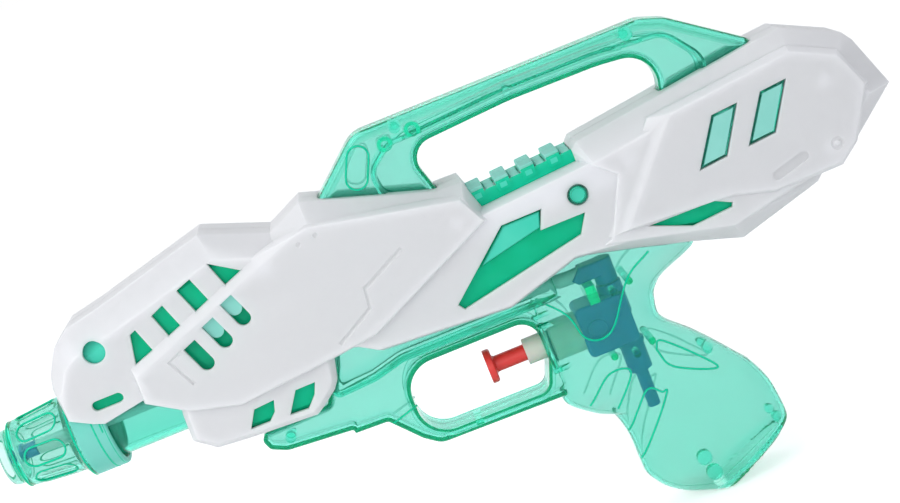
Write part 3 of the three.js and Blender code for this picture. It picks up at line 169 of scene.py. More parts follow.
REAR_OUTLINE = [
    (241.4, -7.9, 6), (284.3, -18.6, 11), (307, -25.9, 13), (342.4, -16, 7), (346, -12.5, 4),
    (357.2, -10.1, 8), (381.9, 10.7, 10), (373.4, 32, 9), (370.2, 36.4, 9), (348.1, 47, 9),
    (336.4, 46, 9), (290.2, 39.8, 9), (257.8, 35.6, 8), (255.4, 33, 3), (255.4, 27.6, 2),
    (265.8, 18.6, 2), (255.7, -2.4, 2),
]
LUG_OUTLINE = [
    (77, 4, 1), (75, -6, 2.5), (74.5, -17.5, 2.5), (82.5, -23.8, 2.5), (98, -25.2, 2.5),
    (124, -26.5, 2.5), (128, -24, 2.5), (134, -19.5, 2.5), (136.5, -16, 2.5), (139.5, -4, 1), (139.5, 4, 1),
]
CENTRE_LEDGE = [(272, 29.4, 1.2), (190, 23.6, 2)]  # the covers' edge beside the rail
CENTRE_COVER = [*CENTRE_OUTLINE[:-3], *CENTRE_LEDGE, CENTRE_OUTLINE[-1]]
COVER_PLATES = [
    (FRONT_OUTLINE, SHELL_SHOULDER, FRONT_FACE), (CENTRE_OUTLINE, SHELL_SHOULDER, CENTRE_FACE),
    (REAR_OUTLINE, SHELL_SHOULDER, REAR_FACE), (LUG_OUTLINE, LUG_SHOULDER, LUG_FACE),
]
RAISED_FRONT = [
    (65.3, 16.3, 1.2), (65, 5.3, 1.2), (79, -3.7, 1.2), (99, -9.2, 1.2), (138, -5.7, 1.2),
    (157.5, -3.3, 1.2), (212.8, 22.4, 1.2), (207.2, 33.3, 1.2), (148.5, 46, 1.2), (142.9, 45, 6.5),
]
RAISED_REAR = [
    (264, -2.5, 1.5), (307.8, -5.1, 2), (323.1, -9.7, 2), (351.3, -9.2, 2), (358.8, -3.2, 2),
    (369.5, 16.2, 2), (363, 31, 2), (345.7, 39.2, 2), (294.5, 34, 7),
]
RAISED_PANELS = (RAISED_FRONT, RAISED_REAR)

# Windows in the covers
SPY_HOLE = (54.1, 31.3)
SPY_HOLE_RADIUS = 4.5
OBLONG_SLOT = (51.2, 11.2)
OBLONG_LENGTH = 12.8
OBLONG_HEIGHT = 4
UPPER_SLOTS = [
    [(67, 20.7), (75.4, 23.6), (72.2, 33.5), (69.6, 32.4)],
    [(83.2, 26.4), (89, 28.5), (85.6, 38.5), (80.2, 36.2)],
    [(96.6, 31.3), (102.9, 33.8), (99.3, 44), (92.9, 41.7)],
    [(111.1, 36.7), (119, 39.7), (107.7, 47.2)],
]
FINGER_SLOT_COUNT = 3
FINGER_SLOT_END = (92.9, 11.3)
FINGER_SLOT_STEP = (9.9, 5.55)
FINGER_SLOT_RUN = (-3.6, 9.2)
FINGER_SLOT_WIDTH = 6
FINGER_SLOT_DARK = 0.5  # share of a slot below the light behind it
MIDDLE_WINDOW = [
    (191.5, -5.7), (193.5, -8.3), (246.4, 2.1), (251, 9.8), (232.2, 9.8), (235.5, 17.6), (218.6, 17.4),
]
REAR_SLOT = [(272, -4.6), (288.5, -11.4), (305.4, -10.1), (306.1, -8.4), (299.4, -5.1)]
LUG_SLOTS = [
    [(97.7, -21.1), (105.8, -21.1), (109, -18.1), (110.5, -13.4), (102, -14)],
    [(114.1, -21.7), (121.8, -22.1), (126, -17.7), (128.1, -12.9), (119.8, -13)],
]

# Small marks pressed into the covers
MARK_RADIUS = 1.1
MARK_DEPTH = 0.5
ZIGZAG = [(179.4, 24.7), (160.4, 15.2), (159.4, 7.2), (143.4, -1.8)]
SLOT_CORNER = [(86, 19.3), (79.5, 17), (85.2, 5.4)]
DIMPLES = [(143.3, 40.9), (150.7, 42)]
DIMPLE_RADIUS = 1.5
LOZENGE = [(326, -4.4), (338, -1.2)]
LOZENGE_WIDTH = 4
REAR_RING = (352, -1.5)
REAR_RING_RADIUS = 1.8

# Tank panes that stand in windows of the covers
PANE_SETBACK = 0.7
PANE_EDGE = 0.8
REAR_PANES = [
    [(298.8, 9.2), (309.8, 10.3), (320, 27.8), (309.8, 27)],
    [(319.8, 10.9), (330.6, 11.8), (340.8, 29.4), (330.5, 28.5)],
]
MIDDLE_PANE = [(205.5, 4.8), (232.5, 10.6), (234.4, 16.8), (219, 16.6)]
MIDDLE_PANE_FACE = 20.3
PATCH_PROUD = 0.15  # thin skins that paint light and shade in another green stand this far out of the wall
PATCH_DEPTH = 0.3  # and reach this far into it
PATCH_MARGIN = 2
PEG = (250.7, 17.4)
PEG_RADIUS = 3.8
PEG_PROUD = 0.6
PEG_DISH = 0.7

# Carrying handle, (x, z, corner radius)
HANDLE_HALF_WIDTH = 8
HANDLE_EDGE = 3.4
HANDLE_OUTLINE = [
    (157, 38), (203, 30), (200.6, 38.5), (195.2, 56.4, 8), (240, 59.2, 60), (277, 58.8, 40),
    (300.2, 56.4, 12), (296.5, 40), (298, 32), (328, 36), (334, 42, 2), (338.6, 45.4, 3),
    (308.5, 66.8, 14), (298.5, 70.3, 12), (177.5, 70.3, 12), (155.6, 51.2, 2),
]
HANDLE_HOLE_EDGES = range(1, 8)  # the edges of that outline that border the hand space
HANDLE_LIP = 3.6
HANDLE_LIP_HALF_WIDTH = 5.6
HANDLE_LIP_EDGE = 2
HANDLE_POCKETS = [
    [(204, 34), (205, 60.6), (190, 60.4, 8), (180.5, 53, 6), (181.5, 43.5, 5), (190, 38)],
    [(292, 33), (313, 33), (315.4, 47, 9), (305, 60.4, 10), (288, 61.8)],
]
POCKET_EDGE = 0.8
HANDLE_PILL = (173.2, 53.5)
HANDLE_PILL_RUN = (3.6, 8)
HANDLE_PILL_WIDTH = 8.6

# Toothed rail on top of the tank
RAIL_START = 209
RAIL_END = 257
RAIL_HALF_WIDTH = 10
RAIL_TOP = 30.5
RAIL_DEPTH = 16
TOOTH_COUNT = 4
TOOTH_FIRST = 214.9
TOOTH_PITCH = 10.9
TOOTH_LENGTH = 5.6
TOOTH_HEIGHT = 3.5
TOOTH_EDGE = 0.5
TOOTH_MIDDLES = [TOOTH_FIRST + i * TOOTH_PITCH for i in range(TOOTH_COUNT)]
RAIL_TILT = 0.06  # rise of the rail towards the rear
RAIL_BAND = 7  # the band on the rail's side, painted bright as a glow
RAIL_BAND_RISE = 1.2
RAIL_RIB_DROP = 1.8
RAIL_RIB_RISE = 2.4
RAIL_RIB_PROUD = 0.8
RIB_LIGHT = (1.4, 0.7, 1.3)  # half length, drop and rise of the painted light spot on a rib
LOW_TOOTH_LENGTH = 3.6
LOW_TOOTH_HEIGHT = 1.3

# Trigger guard with the tongue in front of it
GUARD_HALF_WIDTH = 6.7
GUARD_EDGE = 1.6
GUARD_OUTLINE = [
    (98, -31.6, 2.4), (99.6, -35.8, 3), (106, -38.9, 8), (133.4, -41.2, 1), (133.8, -42.9),
    (147.6, -43.4, 2), (158.2, -55.4, 6), (164.5, -60.2, 8), (216.5, -61.2), (232, -62),
    (232, 6), (142, 6), (128, -27.5, 2), (100, -28.6, 2.4),
]
GUARD_HOLE = [(160.4, -25.6, 12.5), (160.4, -55.8, 12.5), (212.6, -56.2, 5), (217, -44, 10), (217, -25.6, 8)]
GUARD_RIM = 2.8
GUARD_RIM_PROUD = 0.9
GUARD_RIM_EDGE = 0.7
GUARD_BRACE = [(149.5, -44.6), (161, -41.2)]
FRONT_BLOCK_HALF_WIDTH = 12.5
FRONT_BLOCK_EDGE = 4
FRONT_BLOCK = [(139, 6), (131, -26, 3), (150, -25, 10), (163, -21.8, 10), (232, -21.8), (232, 6)]

# Pistol grip as level slices: (z, front x, back x)
GRIP_HALF_WIDTH = 13
GRIP_SQUARENESS = 2.6
GRIP_POINTS = 72
GRIP_LEVELS = 110
GRIP_SIDE_END = 0.98  # share of the grip's half depth where its side ends
GRIP_FRONT = 217
GRIP_SLICES = [
    (2, GRIP_FRONT, 292), (-21, GRIP_FRONT, 290), (-30, GRIP_FRONT, 271.3), (-36, GRIP_FRONT, 266.6),
    (-43.6, GRIP_FRONT, 265.4), (-58, GRIP_FRONT, 277.4), (-63.2, 216.5, 282), (-73.6, 226.4, 290.4),
    (-77.5, 233.8, 293.5), (-91, 236.8, 299), (-104.6, 237.2, 300.4), (-112, 240.9, 300),
    (-118, 248, 299), (-122.9, 262, 296),
]
GRIP_BASE_FRONT = (267.6, -122.9)
GRIP_BASE_REAR = (295.4, -110)
GRIP_BASE_ROUND = 3.5
LINE_RADIUS = 0.45  # of the raised lines on the tank and the cap
LINE_SUNK = 0.25
SIDE_VIEW_RISE = 0.218  # a mark on the side shows this share of its y too low in the sketch
GRIP_LINES = [
    [(225.7, -69.7), (237.1, -60.4), (245.7, -62.6), (235.7, -75)],
    [(237.1, -86), (248.4, -72.6), (254.4, -75.4), (255.4, -77.6), (237.8, -99.4)],
    [(258.4, -58), (262.1, -67), (277.1, -74.7), (277.8, -72), (262.1, -55.8), (258.4, -58)],
    [(221, -20.4), (230, -31), (233.4, -42), (239.4, -45.4), (246.4, -42), (257.8, -26), (269.4, -19)],
]

# Weld pins and posts inside the tank: (x, z, radius)
WELD_PINS = [
    (194.4, 66.8, 2.4), (240.3, 63.4, 1.8), (291.6, 66.6, 2.6), (278.4, -64.6, 2.2),
    (263, -113.6, 3.2), (295, -102.8, 2), (181.9, -58, 1.6), (109, -34.4, 2.2),
]
WELD_PIN_LENGTH = 4.5
POSTS = [(188.4, 61.8), (200.4, 63.4)]
POST_OUTER = 3.2
POST_BORE = 1.6

# Screws of the covers, driven in from the right
SCREW_PLACES = [(44.5, 33), (128, 36.5), (203, 25.5), (274, 23), (355, 23), (349, -2.5)]
SCREW_POST_RADIUS = 3.6
SCREW_RADIUS = 1.3
SCREW_LENGTH = 18
SCREW_HEAD_RADIUS = 2.7
SCREW_HEAD_HEIGHT = 1.8
SCREW_SEAT = 7
SCREW_DRIVE_WIDTH = 0.9
SCREW_DRIVE_DEPTH = 0.9
SCREW_DRIVE_REACH = 0.42  # share of the head's radius
SCREW_DOME = 0.9  # roundness of the head, up to 1
SCREW_DOME_STEPS = (0.4, 0.7, 1)  # shares of the head's height
SCREW_PITCH = 1.1

# Pump
PUMP_AXIS = -39.4
TRIGGER_TRAVEL = 10.4
TRIGGER_MARGIN = 3
TRIGGER_DISC_RADIUS = 7.1
TRIGGER_DISC_LENGTH = 3.1
TRIGGER_DISC_DISH = 0.5
TRIGGER_DISH_FLOOR = 0.6  # shares of the disc's radius
TRIGGER_DISH_RIM = 0.85
TRIGGER_EDGE = TRIGGER_DISC_LENGTH / 3
TRIGGER_STEM_RADIUS = 3.4
CYLINDER_NOSE_RADIUS = 5.45
CYLINDER_NOSE_LENGTH = 7.6
CYLINDER_RADIUS = 8.3
CYLINDER_BORE = 6.2
CYLINDER_END_WALL = 1.8
CYLINDER_SOCKET = 4
CYLINDER_BEVEL = 1
CYLINDER_GASKET = 1.2
HOUSING_ROOM = 1
HOUSING_LENGTH = 14
HOUSING_EDGE = 2.4
PISTON_LENGTH = 4
PISTON_PLAY = 0.5
SEAL_WIDTH = 1.6
SEAL_DEPTH = 1.2
SEAL_PLAY = 0.2
SPRING_RADIUS = 4.1
SPRING_WIRE = 0.4
SPRING_TURNS = 6
SPRING_STEPS = 28
SPRING_SIDES = 12
SPRING_PIN_RADIUS = 2.6
SPRING_PIN_LENGTH = 6
BLOCK_LENGTH = 21.5
BLOCK_HEIGHT = 21.4
BLOCK_HALF_WIDTH = 9
BLOCK_CORNER = 2.4
BLOCK_EDGE = 1.2
BOSS_RADIUS = 4.2
BOSS_PROUD = 1.2
BOSS_DISH = 0.7
BOSS_BEHIND_FRONT = 6.7
CHAMBER_RADIUS = 5.2
CHAMBER_LENGTH = 9.5
VALVE_BEHIND_FRONT = 17.6
PASSAGE_RADIUS = 1.6
BALL_RADIUS = 2.2
BALL_PLAY = 0.45
BALL_LIFT = 1.2
THROAT_RADIUS = 1.4
THROAT_LENGTH = 3
VALVE_NECK_RADIUS = 5.2
VALVE_NECK_HEIGHT = 3.8
CAGE_MARGIN = 0.09
ELBOW_RADIUS = 4.6
ELBOW_HEIGHT = 10.4
ELBOW_ARM_RADIUS = 2.6
ELBOW_ARM_DROP = 3
ELBOW_ARM_LENGTH = 8.5
ELBOW_SLEEVE_LENGTH = 5
ELBOW_SLEEVE_HALF = 4.3
ELBOW_SLEEVE_DROP = 3.6
ELBOW_SLEEVE_EDGE = 1
STUB_RADIUS = 5
STUB_LENGTH = 11.4
STUB_COLLAR = 2.2
STUB_COLLAR_PROUD = 0.6
SPIGOT_WALL = 1.15
SPIGOT_LENGTH = 4.4
PIPE_RADIUS = 2.65
PIPE_BORE = 1.5
PIPE_SOCKET = 8
PIPE_END = -80.4
RIB_WIDTH = 4.2
RIB_HEIGHT = 7.4
RIB_BEHIND_FRONT = 7.2
STAY_RADIUS = 1.5

# Stations that follow from the sizes above
neck_radius = BARREL_RADIUS - NECK_STEP
barrel_bore = neck_radius - TANK_WALL
neck_crest = neck_radius + THREAD_DEPTH
skirt_bore = neck_crest + THREAD_CLEARANCE
skirt_radius = skirt_bore + SKIRT_WALL
skirt_start = CAP_RING_LENGTH + CAP_GRIP_LENGTH
skirt_end = skirt_start + SKIRT_LENGTH
cap_shoulder = skirt_start + CAP_WALL
gasket_start = cap_shoulder + FIT_GAP
gasket_end = gasket_start + GASKET_THICKNESS
holder_start = gasket_end + FIT_GAP
neck_end = holder_start + HOLDER_FLANGE + FIT_GAP
neck_thread_start = neck_end + THREAD_RUN_IN
barrel_start = neck_thread_start + THREAD_PITCH * NECK_THREAD_TURNS + THREAD_ROOT_WIDTH
recess_height = (CAP_FRONT_RADIUS + CAP_REAR_RADIUS) / 2
cap_cavity_start = CAP_RING_DEPTH + CAP_WALL + RECESS_ROOM
barb_radius = TUBE_BORE - FIT_GAP
nozzle_flange_start = cap_cavity_start + FIT_GAP
nozzle_shank_start = nozzle_flange_start + NOZZLE_FLANGE_LENGTH
nozzle_barb_start = nozzle_shank_start + NOZZLE_SHANK_LENGTH
tube_start = nozzle_barb_start + FIT_GAP

tank_front = GRIP_FRONT + TANK_WALL
cylinder_nose = GRIP_FRONT - CYLINDER_NOSE_LENGTH
cylinder_shoulder = tank_front + FIT_GAP + CYLINDER_GASKET + FIT_GAP
cylinder_length = CYLINDER_END_WALL + PISTON_LENGTH + TRIGGER_TRAVEL + 2 * FIT_GAP
cylinder_end = cylinder_shoulder + cylinder_length
block_front = cylinder_end - CYLINDER_SOCKET
block_top = PUMP_AXIS + BLOCK_HEIGHT / 2
block_bottom = PUMP_AXIS - BLOCK_HEIGHT / 2
chamber_end = cylinder_end + FIT_GAP + CHAMBER_LENGTH
valve_axis = block_front + VALVE_BEHIND_FRONT
piston_front = cylinder_shoulder + CYLINDER_END_WALL + FIT_GAP
piston_rear = piston_front + PISTON_LENGTH
piston_radius = CYLINDER_BORE - PISTON_PLAY
disc_rear = cylinder_nose - TRIGGER_TRAVEL - TRIGGER_MARGIN
spring_start = piston_rear + FIT_GAP
spring_end = chamber_end - FIT_GAP
cage_radius = BALL_RADIUS + BALL_PLAY
spigot_radius = cage_radius + SPIGOT_WALL
ball_seat = math.sqrt(BALL_RADIUS**2 - THROAT_RADIUS**2) + FIT_GAP
neck_top = block_top + VALVE_NECK_HEIGHT
elbow_bottom = neck_top + FIT_GAP
outlet_throat_top = elbow_bottom - (ball_seat + BALL_RADIUS + BALL_LIFT + CAGE_MARGIN)
elbow_top = elbow_bottom + ELBOW_HEIGHT
arm_height = elbow_top - ELBOW_ARM_DROP
arm_end = valve_axis - ELBOW_ARM_LENGTH
spigot_top = block_bottom + SPIGOT_LENGTH
collar_top = block_bottom - FIT_GAP
stub_top = collar_top - STUB_COLLAR
stub_bottom = stub_top - STUB_LENGTH
inlet_throat_top = stub_bottom + PIPE_SOCKET + THROAT_LENGTH


def row(x, y, z):
    """A place of the sketch in the row's frame, in metres."""
    return Vector(((x - DATUM_X) * MM, y * MM, (z + DATUM_Z) * MM))


# Materials
NOISE_ROUGHNESS = 0.55
TONE_STOPS = (0.3, 0.7)
GREEN_PASSING = (0.95, 0.915, 0.92, 1)
GREEN_GLOSS = (0.5, 0.8, 0.85, 1)
GREEN_DEPTH = (0.02, 0.99, 0.86, 1)
GREEN_DENSITY = 290
CAP_DENSITY = 140
GREEN_HAZE = ((0.008, 0.80, 0.48), (0.012, 0.88, 0.55))
# painted glow on edges and lines
PAINTED_GLOW_TONES = ((0.003, 0.82, 0.45), (0.006, 0.90, 0.53))
# painted shade of the dim inside seen through the windows
PAINTED_SHADE_TONES = ((0.002, 0.66, 0.32), (0.005, 0.74, 0.39))
# painted light in the windows, on the peg and on the rail's ribs
PAINTED_LIGHT_TONES = ((0.08, 0.84, 0.60), (0.12, 0.90, 0.66))
# painted light from behind on panes, slot ends and teeth
PAINTED_BACKLIGHT_TONES = ((0.34, 0.88, 0.76), (0.40, 0.93, 0.82))
# painted light that lifts the shade on the cap's skirt
PAINTED_SKIRT_LIGHT_TONES = ((0.25, 0.92, 0.76), (0.31, 0.96, 0.82))
WHITE_TONES = ((0.86, 0.865, 0.90), (0.89, 0.893, 0.92))
BLUE_TONES = ((0.002, 0.085, 0.40), (0.004, 0.12, 0.48))
RED_TONES = ((0.76, 0.034, 0.028), (0.86, 0.050, 0.040))
NATURAL_TONES = ((0.66, 0.68, 0.59), (0.74, 0.76, 0.67))
TUBE_TONES = ((0.62, 0.72, 0.70), (0.72, 0.80, 0.78))
RUBBER_TONES = ((0.012, 0.013, 0.014), (0.022, 0.023, 0.025))
STEEL_TONES = ((0.50, 0.51, 0.53), (0.66, 0.67, 0.69))


def fill(node, **values):
    """Sets inputs of a node by name, with _ for a space."""
    for name, value in values.items():
        node.inputs[name.replace("_", " ")].default_value = value
    return node


class Shader:
    """A node material that is put together step by step."""

    def __init__(self, name):
        self.material = bpy.data.materials.new(name)
        self.material.use_nodes = True
        self.tree = self.material.node_tree
        self.tree.nodes.clear()
        self.output = self.add("ShaderNodeOutputMaterial")
        self.surface = self.add("ShaderNodeBsdfPrincipled")
        self.link(self.surface, "BSDF", self.output, "Surface")
        self.place = self.add("ShaderNodeTexCoord")

    def add(self, kind, **values):
        return fill(self.tree.nodes.new(kind), **values)

    def link(self, source, out, target, into):
        self.tree.links.new(source.outputs[out], target.inputs[into])

    def noise(self, scale, detail=3.0, stretch=(1, 1, 1)):
        mapping = self.add("ShaderNodeMapping", Scale=stretch)
        node = self.add("ShaderNodeTexNoise", Scale=scale, Detail=detail, Roughness=NOISE_ROUGHNESS)
        self.link(self.place, "Object", mapping, "Vector")
        self.link(mapping, "Vector", node, "Vector")
        return node

    def tone(self, source, tones, target, into):
        """Lets a texture run from a dark to a light colour."""
        node = self.add("ShaderNodeValToRGB")
        for element, at, color in zip(node.color_ramp.elements, TONE_STOPS, tones):
            element.position = at
            element.color = (*color, 1.0)
        self.link(source, "Fac", node, "Fac")
        self.link(node, "Color", target, into)

    def rough(self, source, low, high):
        node = self.add("ShaderNodeMapRange", To_Min=low, To_Max=high)
        self.link(source, "Fac", node, "Value")
        self.link(node, "Result", self.surface, "Roughness")

    def bump(self, *layers):
        """layers: (texture node, strength, depth in metres), the coarsest first."""
        before = None
        for source, strength, depth in layers:
            node = self.add("ShaderNodeBump", Strength=strength, Distance=depth)
            self.link(source, "Fac", node, "Height")
            if before is not None:
                self.link(before, "Normal", node, "Normal")
            before = node
        self.link(before, "Normal", self.surface, "Normal")


def green_material(name, haze_and_paint_share, tones, density=GREEN_DENSITY):
    """Clear plastic that takes red out of what passes, with some milky green of its own; where that share is
    large, it paints light and shade onto the surface.
    """
    shader = Shader(name)
    wave = shader.noise(scale=70, detail=2)
    grain = shader.noise(scale=900, detail=2)
    shader.rough(shader.noise(scale=160), low=0.02, high=0.08)
    shader.bump((wave, 0.06, 0.0006), (grain, 0.04, 0.00005))
    fill(shader.surface, Base_Color=GREEN_PASSING, Specular_Tint=GREEN_GLOSS)
    fill(shader.surface, IOR=1.42, Transmission_Weight=1.0)
    # the diffuse part is milky scatter in the clear finishes, and painted light and shade where its share is
    # large
    haze_and_paint = shader.add("ShaderNodeBsdfDiffuse")
    shader.tone(wave, tones, haze_and_paint, "Color")
    both = shader.add("ShaderNodeMixShader", Fac=haze_and_paint_share)
    shader.link(shader.surface, "BSDF", both, 1)
    shader.link(haze_and_paint, "BSDF", both, 2)
    shader.link(both, "Shader", shader.output, "Surface")
    inside = shader.add("ShaderNodeVolumeAbsorption", Color=GREEN_DEPTH, Density=density)
    shader.link(inside, "Volume", shader.output, "Volume")
    return shader.material


def solid_material(
    name, tones, rough=(0.25, 0.42), cloud=(90, 0.08, 0.0004), speck=(900, 0.10, 0.00005), **values
):
    """Moulded plastic or rubber with clouds and specks, each as (scale, strength and depth of its bump)."""
    shader = Shader(name)
    clouds = shader.noise(cloud[0], detail=4)
    specks = shader.noise(speck[0], detail=2)
    shader.tone(clouds, tones, shader.surface, "Base Color")
    shader.rough(specks, *rough)
    shader.bump((clouds, *cloud[1:]), (specks, *speck[1:]))
    fill(shader.surface, **values)
    return shader.material


def steel_material():
    shader = Shader("bright_steel")
    brushed = shader.noise(scale=260, detail=3, stretch=(1, 14, 14))
    shader.tone(brushed, STEEL_TONES, shader.surface, "Base Color")
    shader.rough(brushed, low=0.2, high=0.36)
    shader.bump((brushed, 0.1, 0.00005))
    fill(shader.surface, Metallic=1.0)
    return shader.material


materials = {
    "green_plastic": green_material("green_see_through", 0.11, GREEN_HAZE),
    "green_cap": green_material("green_cap", 0.11, GREEN_HAZE, CAP_DENSITY),
    # painted glow: the weld, the near side's lines, the rail's side and the cap's edges
    "green_painted_glow": green_material("green_painted_glow", 0.65, PAINTED_GLOW_TONES),
    # painted shade of the dim inside seen through the windows
    "green_painted_shade": green_material("green_painted_shade", 0.7, PAINTED_SHADE_TONES),
    # painted light in the windows, on the peg and on the rail's ribs
    "green_painted_light": green_material("green_painted_light", 0.8, PAINTED_LIGHT_TONES),
    # painted light from behind on panes, slot ends and teeth
    "green_painted_backlight": green_material("green_painted_backlight", 0.8, PAINTED_BACKLIGHT_TONES),
    # painted light that lifts the shade on the cap's skirt
    "green_painted_skirt_light": green_material("green_painted_skirt_light", 0.7, PAINTED_SKIRT_LIGHT_TONES),
    "white_plastic": solid_material(
        "white_cover_plastic", WHITE_TONES, (0.38, 0.55),
        cloud=(24, 0.06, 0.0008), speck=(1500, 0.12, 0.00006),
        IOR=1.49, Subsurface_Weight=1.0, Subsurface_Radius=(1, 1, 1), Subsurface_Scale=0.005,
    ),
    "blue_plastic": solid_material("blue_pump_plastic", BLUE_TONES),
    "red_plastic": solid_material("red_trigger_plastic", RED_TONES),
    "natural_plastic": solid_material(
        "natural_plastic", NATURAL_TONES, (0.3, 0.45), Subsurface_Weight=0.4, Subsurface_Scale=0.002
    ),
    "clear_tube": solid_material("soft_tube_plastic", TUBE_TONES, (0.2, 0.35)),
    "black_rubber": solid_material("black_rubber", RUBBER_TONES, (0.6, 0.8)),
    "steel": steel_material(),
}

# Forms, in millimetres of the sketch


def offset_outline(points, distances):
    """Moves each edge of an anticlockwise outline outwards; an edge that would turn back closes up."""
    count = len(points)
    if not isinstance(distances, list):
        distances = [distances] * count
    lines = []
    for i, (x, z) in enumerate(points):
        next_x, next_z = points[(i + 1) % count]
        length = math.hypot(next_x - x, next_z - z)
        along = ((next_x - x) / length, (next_z - z) / length)
        lines.append([along, (x + along[1] * distances[i], z - along[0] * distances[i]), True])

    def kept(i, step):
        k = i % count
        while not lines[k][2]:
            k = (k + step) % count
        return lines[k]

    def meet(p, q):
        (px, pz), (p_x, p_z), _ = p
        (qx, qz), (q_x, q_z), _ = q
        cross = px * qz - pz * qx
        if abs(cross) < PARALLEL:
            return q_x, q_z
        run = ((q_x - p_x) * qz - (q_z - p_z) * qx) / cross
        return p_x + px * run, p_z + pz * run

    while True:
        corners = [meet(kept(i - 1, -1), kept(i, 1)) for i in range(count)]
        for i, line in enumerate(lines):
            x, z = corners[i]
            next_x, next_z = corners[(i + 1) % count]
            if line[2] and (next_x - x) * line[0][0] + (next_z - z) * line[0][1] < TURNED_BACK:
                line[2] = False
                break
        else:
            return corners


def half_angle(before, after):
    return math.acos(max(-1, min(1, before.dot(after)))) / 2


def corner_arc(here, before, after, radius, reach, steps):
    """An arc that starts at a distance from a corner, between two directions that lead away from it."""
    half = half_angle(before, after)
    centre = here + (before + after).normalized() * (radius / math.sin(half))
    start = here + before * reach - centre
    turn = (math.pi - 2 * half) * (-1 if before.cross(after) > 0 else 1)
    points = []
    for k in range(steps + 1):
        c, s = math.cos(turn * k / steps), math.sin(turn * k / steps)
        points.append((centre.x + (start.x * c - start.y * s), centre.y + (start.x * s + start.y * c)))
    return points


def rounded(corners):
    """Corners given as (x, z, radius) become arcs."""
    points = []
    for i, corner in enumerate(corners):
        here = Vector(corner[:2])
        radius = corner[2] if len(corner) > 2 else 0
        if not radius:
            points.append(tuple(here))
            continue
        before = (Vector(corners[i - 1][:2]) - here).normalized()
        after = (Vector(corners[(i + 1) % len(corners)][:2]) - here).normalized()
        half = half_angle(before, after)
        steps = max(1, math.ceil((math.pi - 2 * half) / ARC_STEP))
        points += corner_arc(here, before, after, radius, radius / math.tan(half), steps)
    return points


def softened(points, radius, closed=False):
    """A profile whose corners are rounded off as far as its edges allow."""
    loop = points[:-1] if closed else points
    result = []
    for i, place in enumerate(loop):
        here = Vector(place)
        before = Vector(loop[i - 1]) - here
        after = Vector(loop[(i + 1) % len(loop)]) - here
        room = ROUNDING_ROOM * min(before.length, after.length)
        before.normalize()
        after.normalize()
        half = half_angle(before, after)
        if half > FLAT_CORNER or not closed and i in (0, len(loop) - 1):
            result.append(place)
            continue
        reach = min(room, radius / math.tan(half))
        result += corner_arc(here, before, after, reach * math.tan(half), reach, ROUND_STEPS)
    return [*result, result[0]] if closed else result


def put_in_scene(name, data):
    made = bpy.data.objects.new(name, data)
    bpy.context.scene.collection.objects.link(made)
    return made


def body(vertices, faces):
    """A closed mesh object from points and faces."""
    mesh = bpy.data.meshes.new("form")
    mesh.from_pydata(vertices, [], faces)
    tidy = bmesh.new()
    tidy.from_mesh(mesh)
    bmesh.ops.remove_doubles(tidy, verts=tidy.verts[:], dist=SAME_PLACE)
    bmesh.ops.dissolve_degenerate(tidy, dist=SLIVER, edges=tidy.edges[:])
    bmesh.ops.recalc_face_normals(tidy, faces=tidy.faces[:])
    tidy.to_mesh(mesh)
    tidy.free()
    return put_in_scene("form", mesh)


def skin(rings, looped=False):
    """A body of rings of points, closed by its end rings, or joined round into a loop."""
    size = len(rings[0])
    count = len(rings)
    faces = []
    for ring in range(count if looped else count - 1):
        after = (ring + 1) % count
        for i in range(size):
            k = (i + 1) % size
            faces.append((ring * size + i, ring * size + k, after * size + k, after * size + i))
    if not looped:
        faces.append(tuple(range(size - 1, -1, -1)))
        faces.append(tuple((count - 1) * size + i for i in range(size)))
    return body([point for ring in rings for point in ring], faces)


def across(levels):
    """Outlines at rising half widths, mirrored on the other side of the middle plane."""
    both = [(-y, outline) for y, outline in reversed(levels)] + levels
    return skin([[(x, y, z) for x, z in outline] for y, outline in both])


def plate(outline, shoulder, face, grow):
    flat = [point[:2] for point in outline]
    base = offset_outline(flat, grow)
    top = offset_outline(flat, [grow - band for _, _, band in outline])
    return across([(shoulder + grow * (math.sqrt(2) - 1), base), (face + grow, top)])


def soft_prism(outline, half_width, edge, grow=0.0, steps=EDGE_STEPS):
    levels = []
    for k in range(steps + 1):
        angle = math.pi / 2 * k / steps
        level = offset_outline(outline, grow - edge * (1 - math.cos(angle)))
        levels.append((half_width + grow - edge * (1 - math.sin(angle)), level))
    return across(levels)


def prism(outline, low, high):
    return skin([[(x, y, z) for x, z in outline] for y in (low, high)])


def circle(place, radius, sides=SMALL_SIDES):
    angles = [2 * math.pi * i / sides for i in range(sides)]
    return [(place[0] + radius * math.cos(a), place[1] + radius * math.sin(a)) for a in angles]


def stadium(start, run, width, steps=END_STEPS):
    slope = math.atan2(run[1], run[0])
    end = (start[0] + run[0], start[1] + run[1])
    points = []
    for (x, z), first in ((start, slope + math.pi / 2), (end, slope - math.pi / 2)):
        for k in range(steps + 1):
            angle = first + math.pi * k / steps
            points.append((x + width / 2 * math.cos(angle), z + width / 2 * math.sin(angle)))
    return points


def turned(profile, axis="X", at=(0, 0, 0), sides=LARGE_SIDES):
    """A body turned from (place along the axis, radius)."""
    rings = []
    for k in range(sides):
        c = math.cos(2 * math.pi * k / sides)
        s = math.sin(2 * math.pi * k / sides)
        ring = []
        for along, radius in profile:
            point = {
                "X": (along, radius * c, radius * s),
                "Y": (radius * s, along, radius * c),
                "Z": (radius * c, radius * s, along),
            }[axis]
            ring.append(tuple(a + b for a, b in zip(at, point)))
        rings.append(ring)
    size = len(profile)
    faces = []
    for k in range(sides):
        after = (k + 1) % sides
        for i in range(size - 1):
            faces.append((k * size + i, k * size + i + 1, after * size + i + 1, after * size + i))
    return body([point for ring in rings for point in ring], faces)


def rod(start, end, radius):
    return [(start, 0), (start, radius), (end, radius), (end, 0)]


def ring_profile(start, end, inner, outer):
    return [(start, inner), (start, outer), (end, outer), (end, inner), (start, inner)]


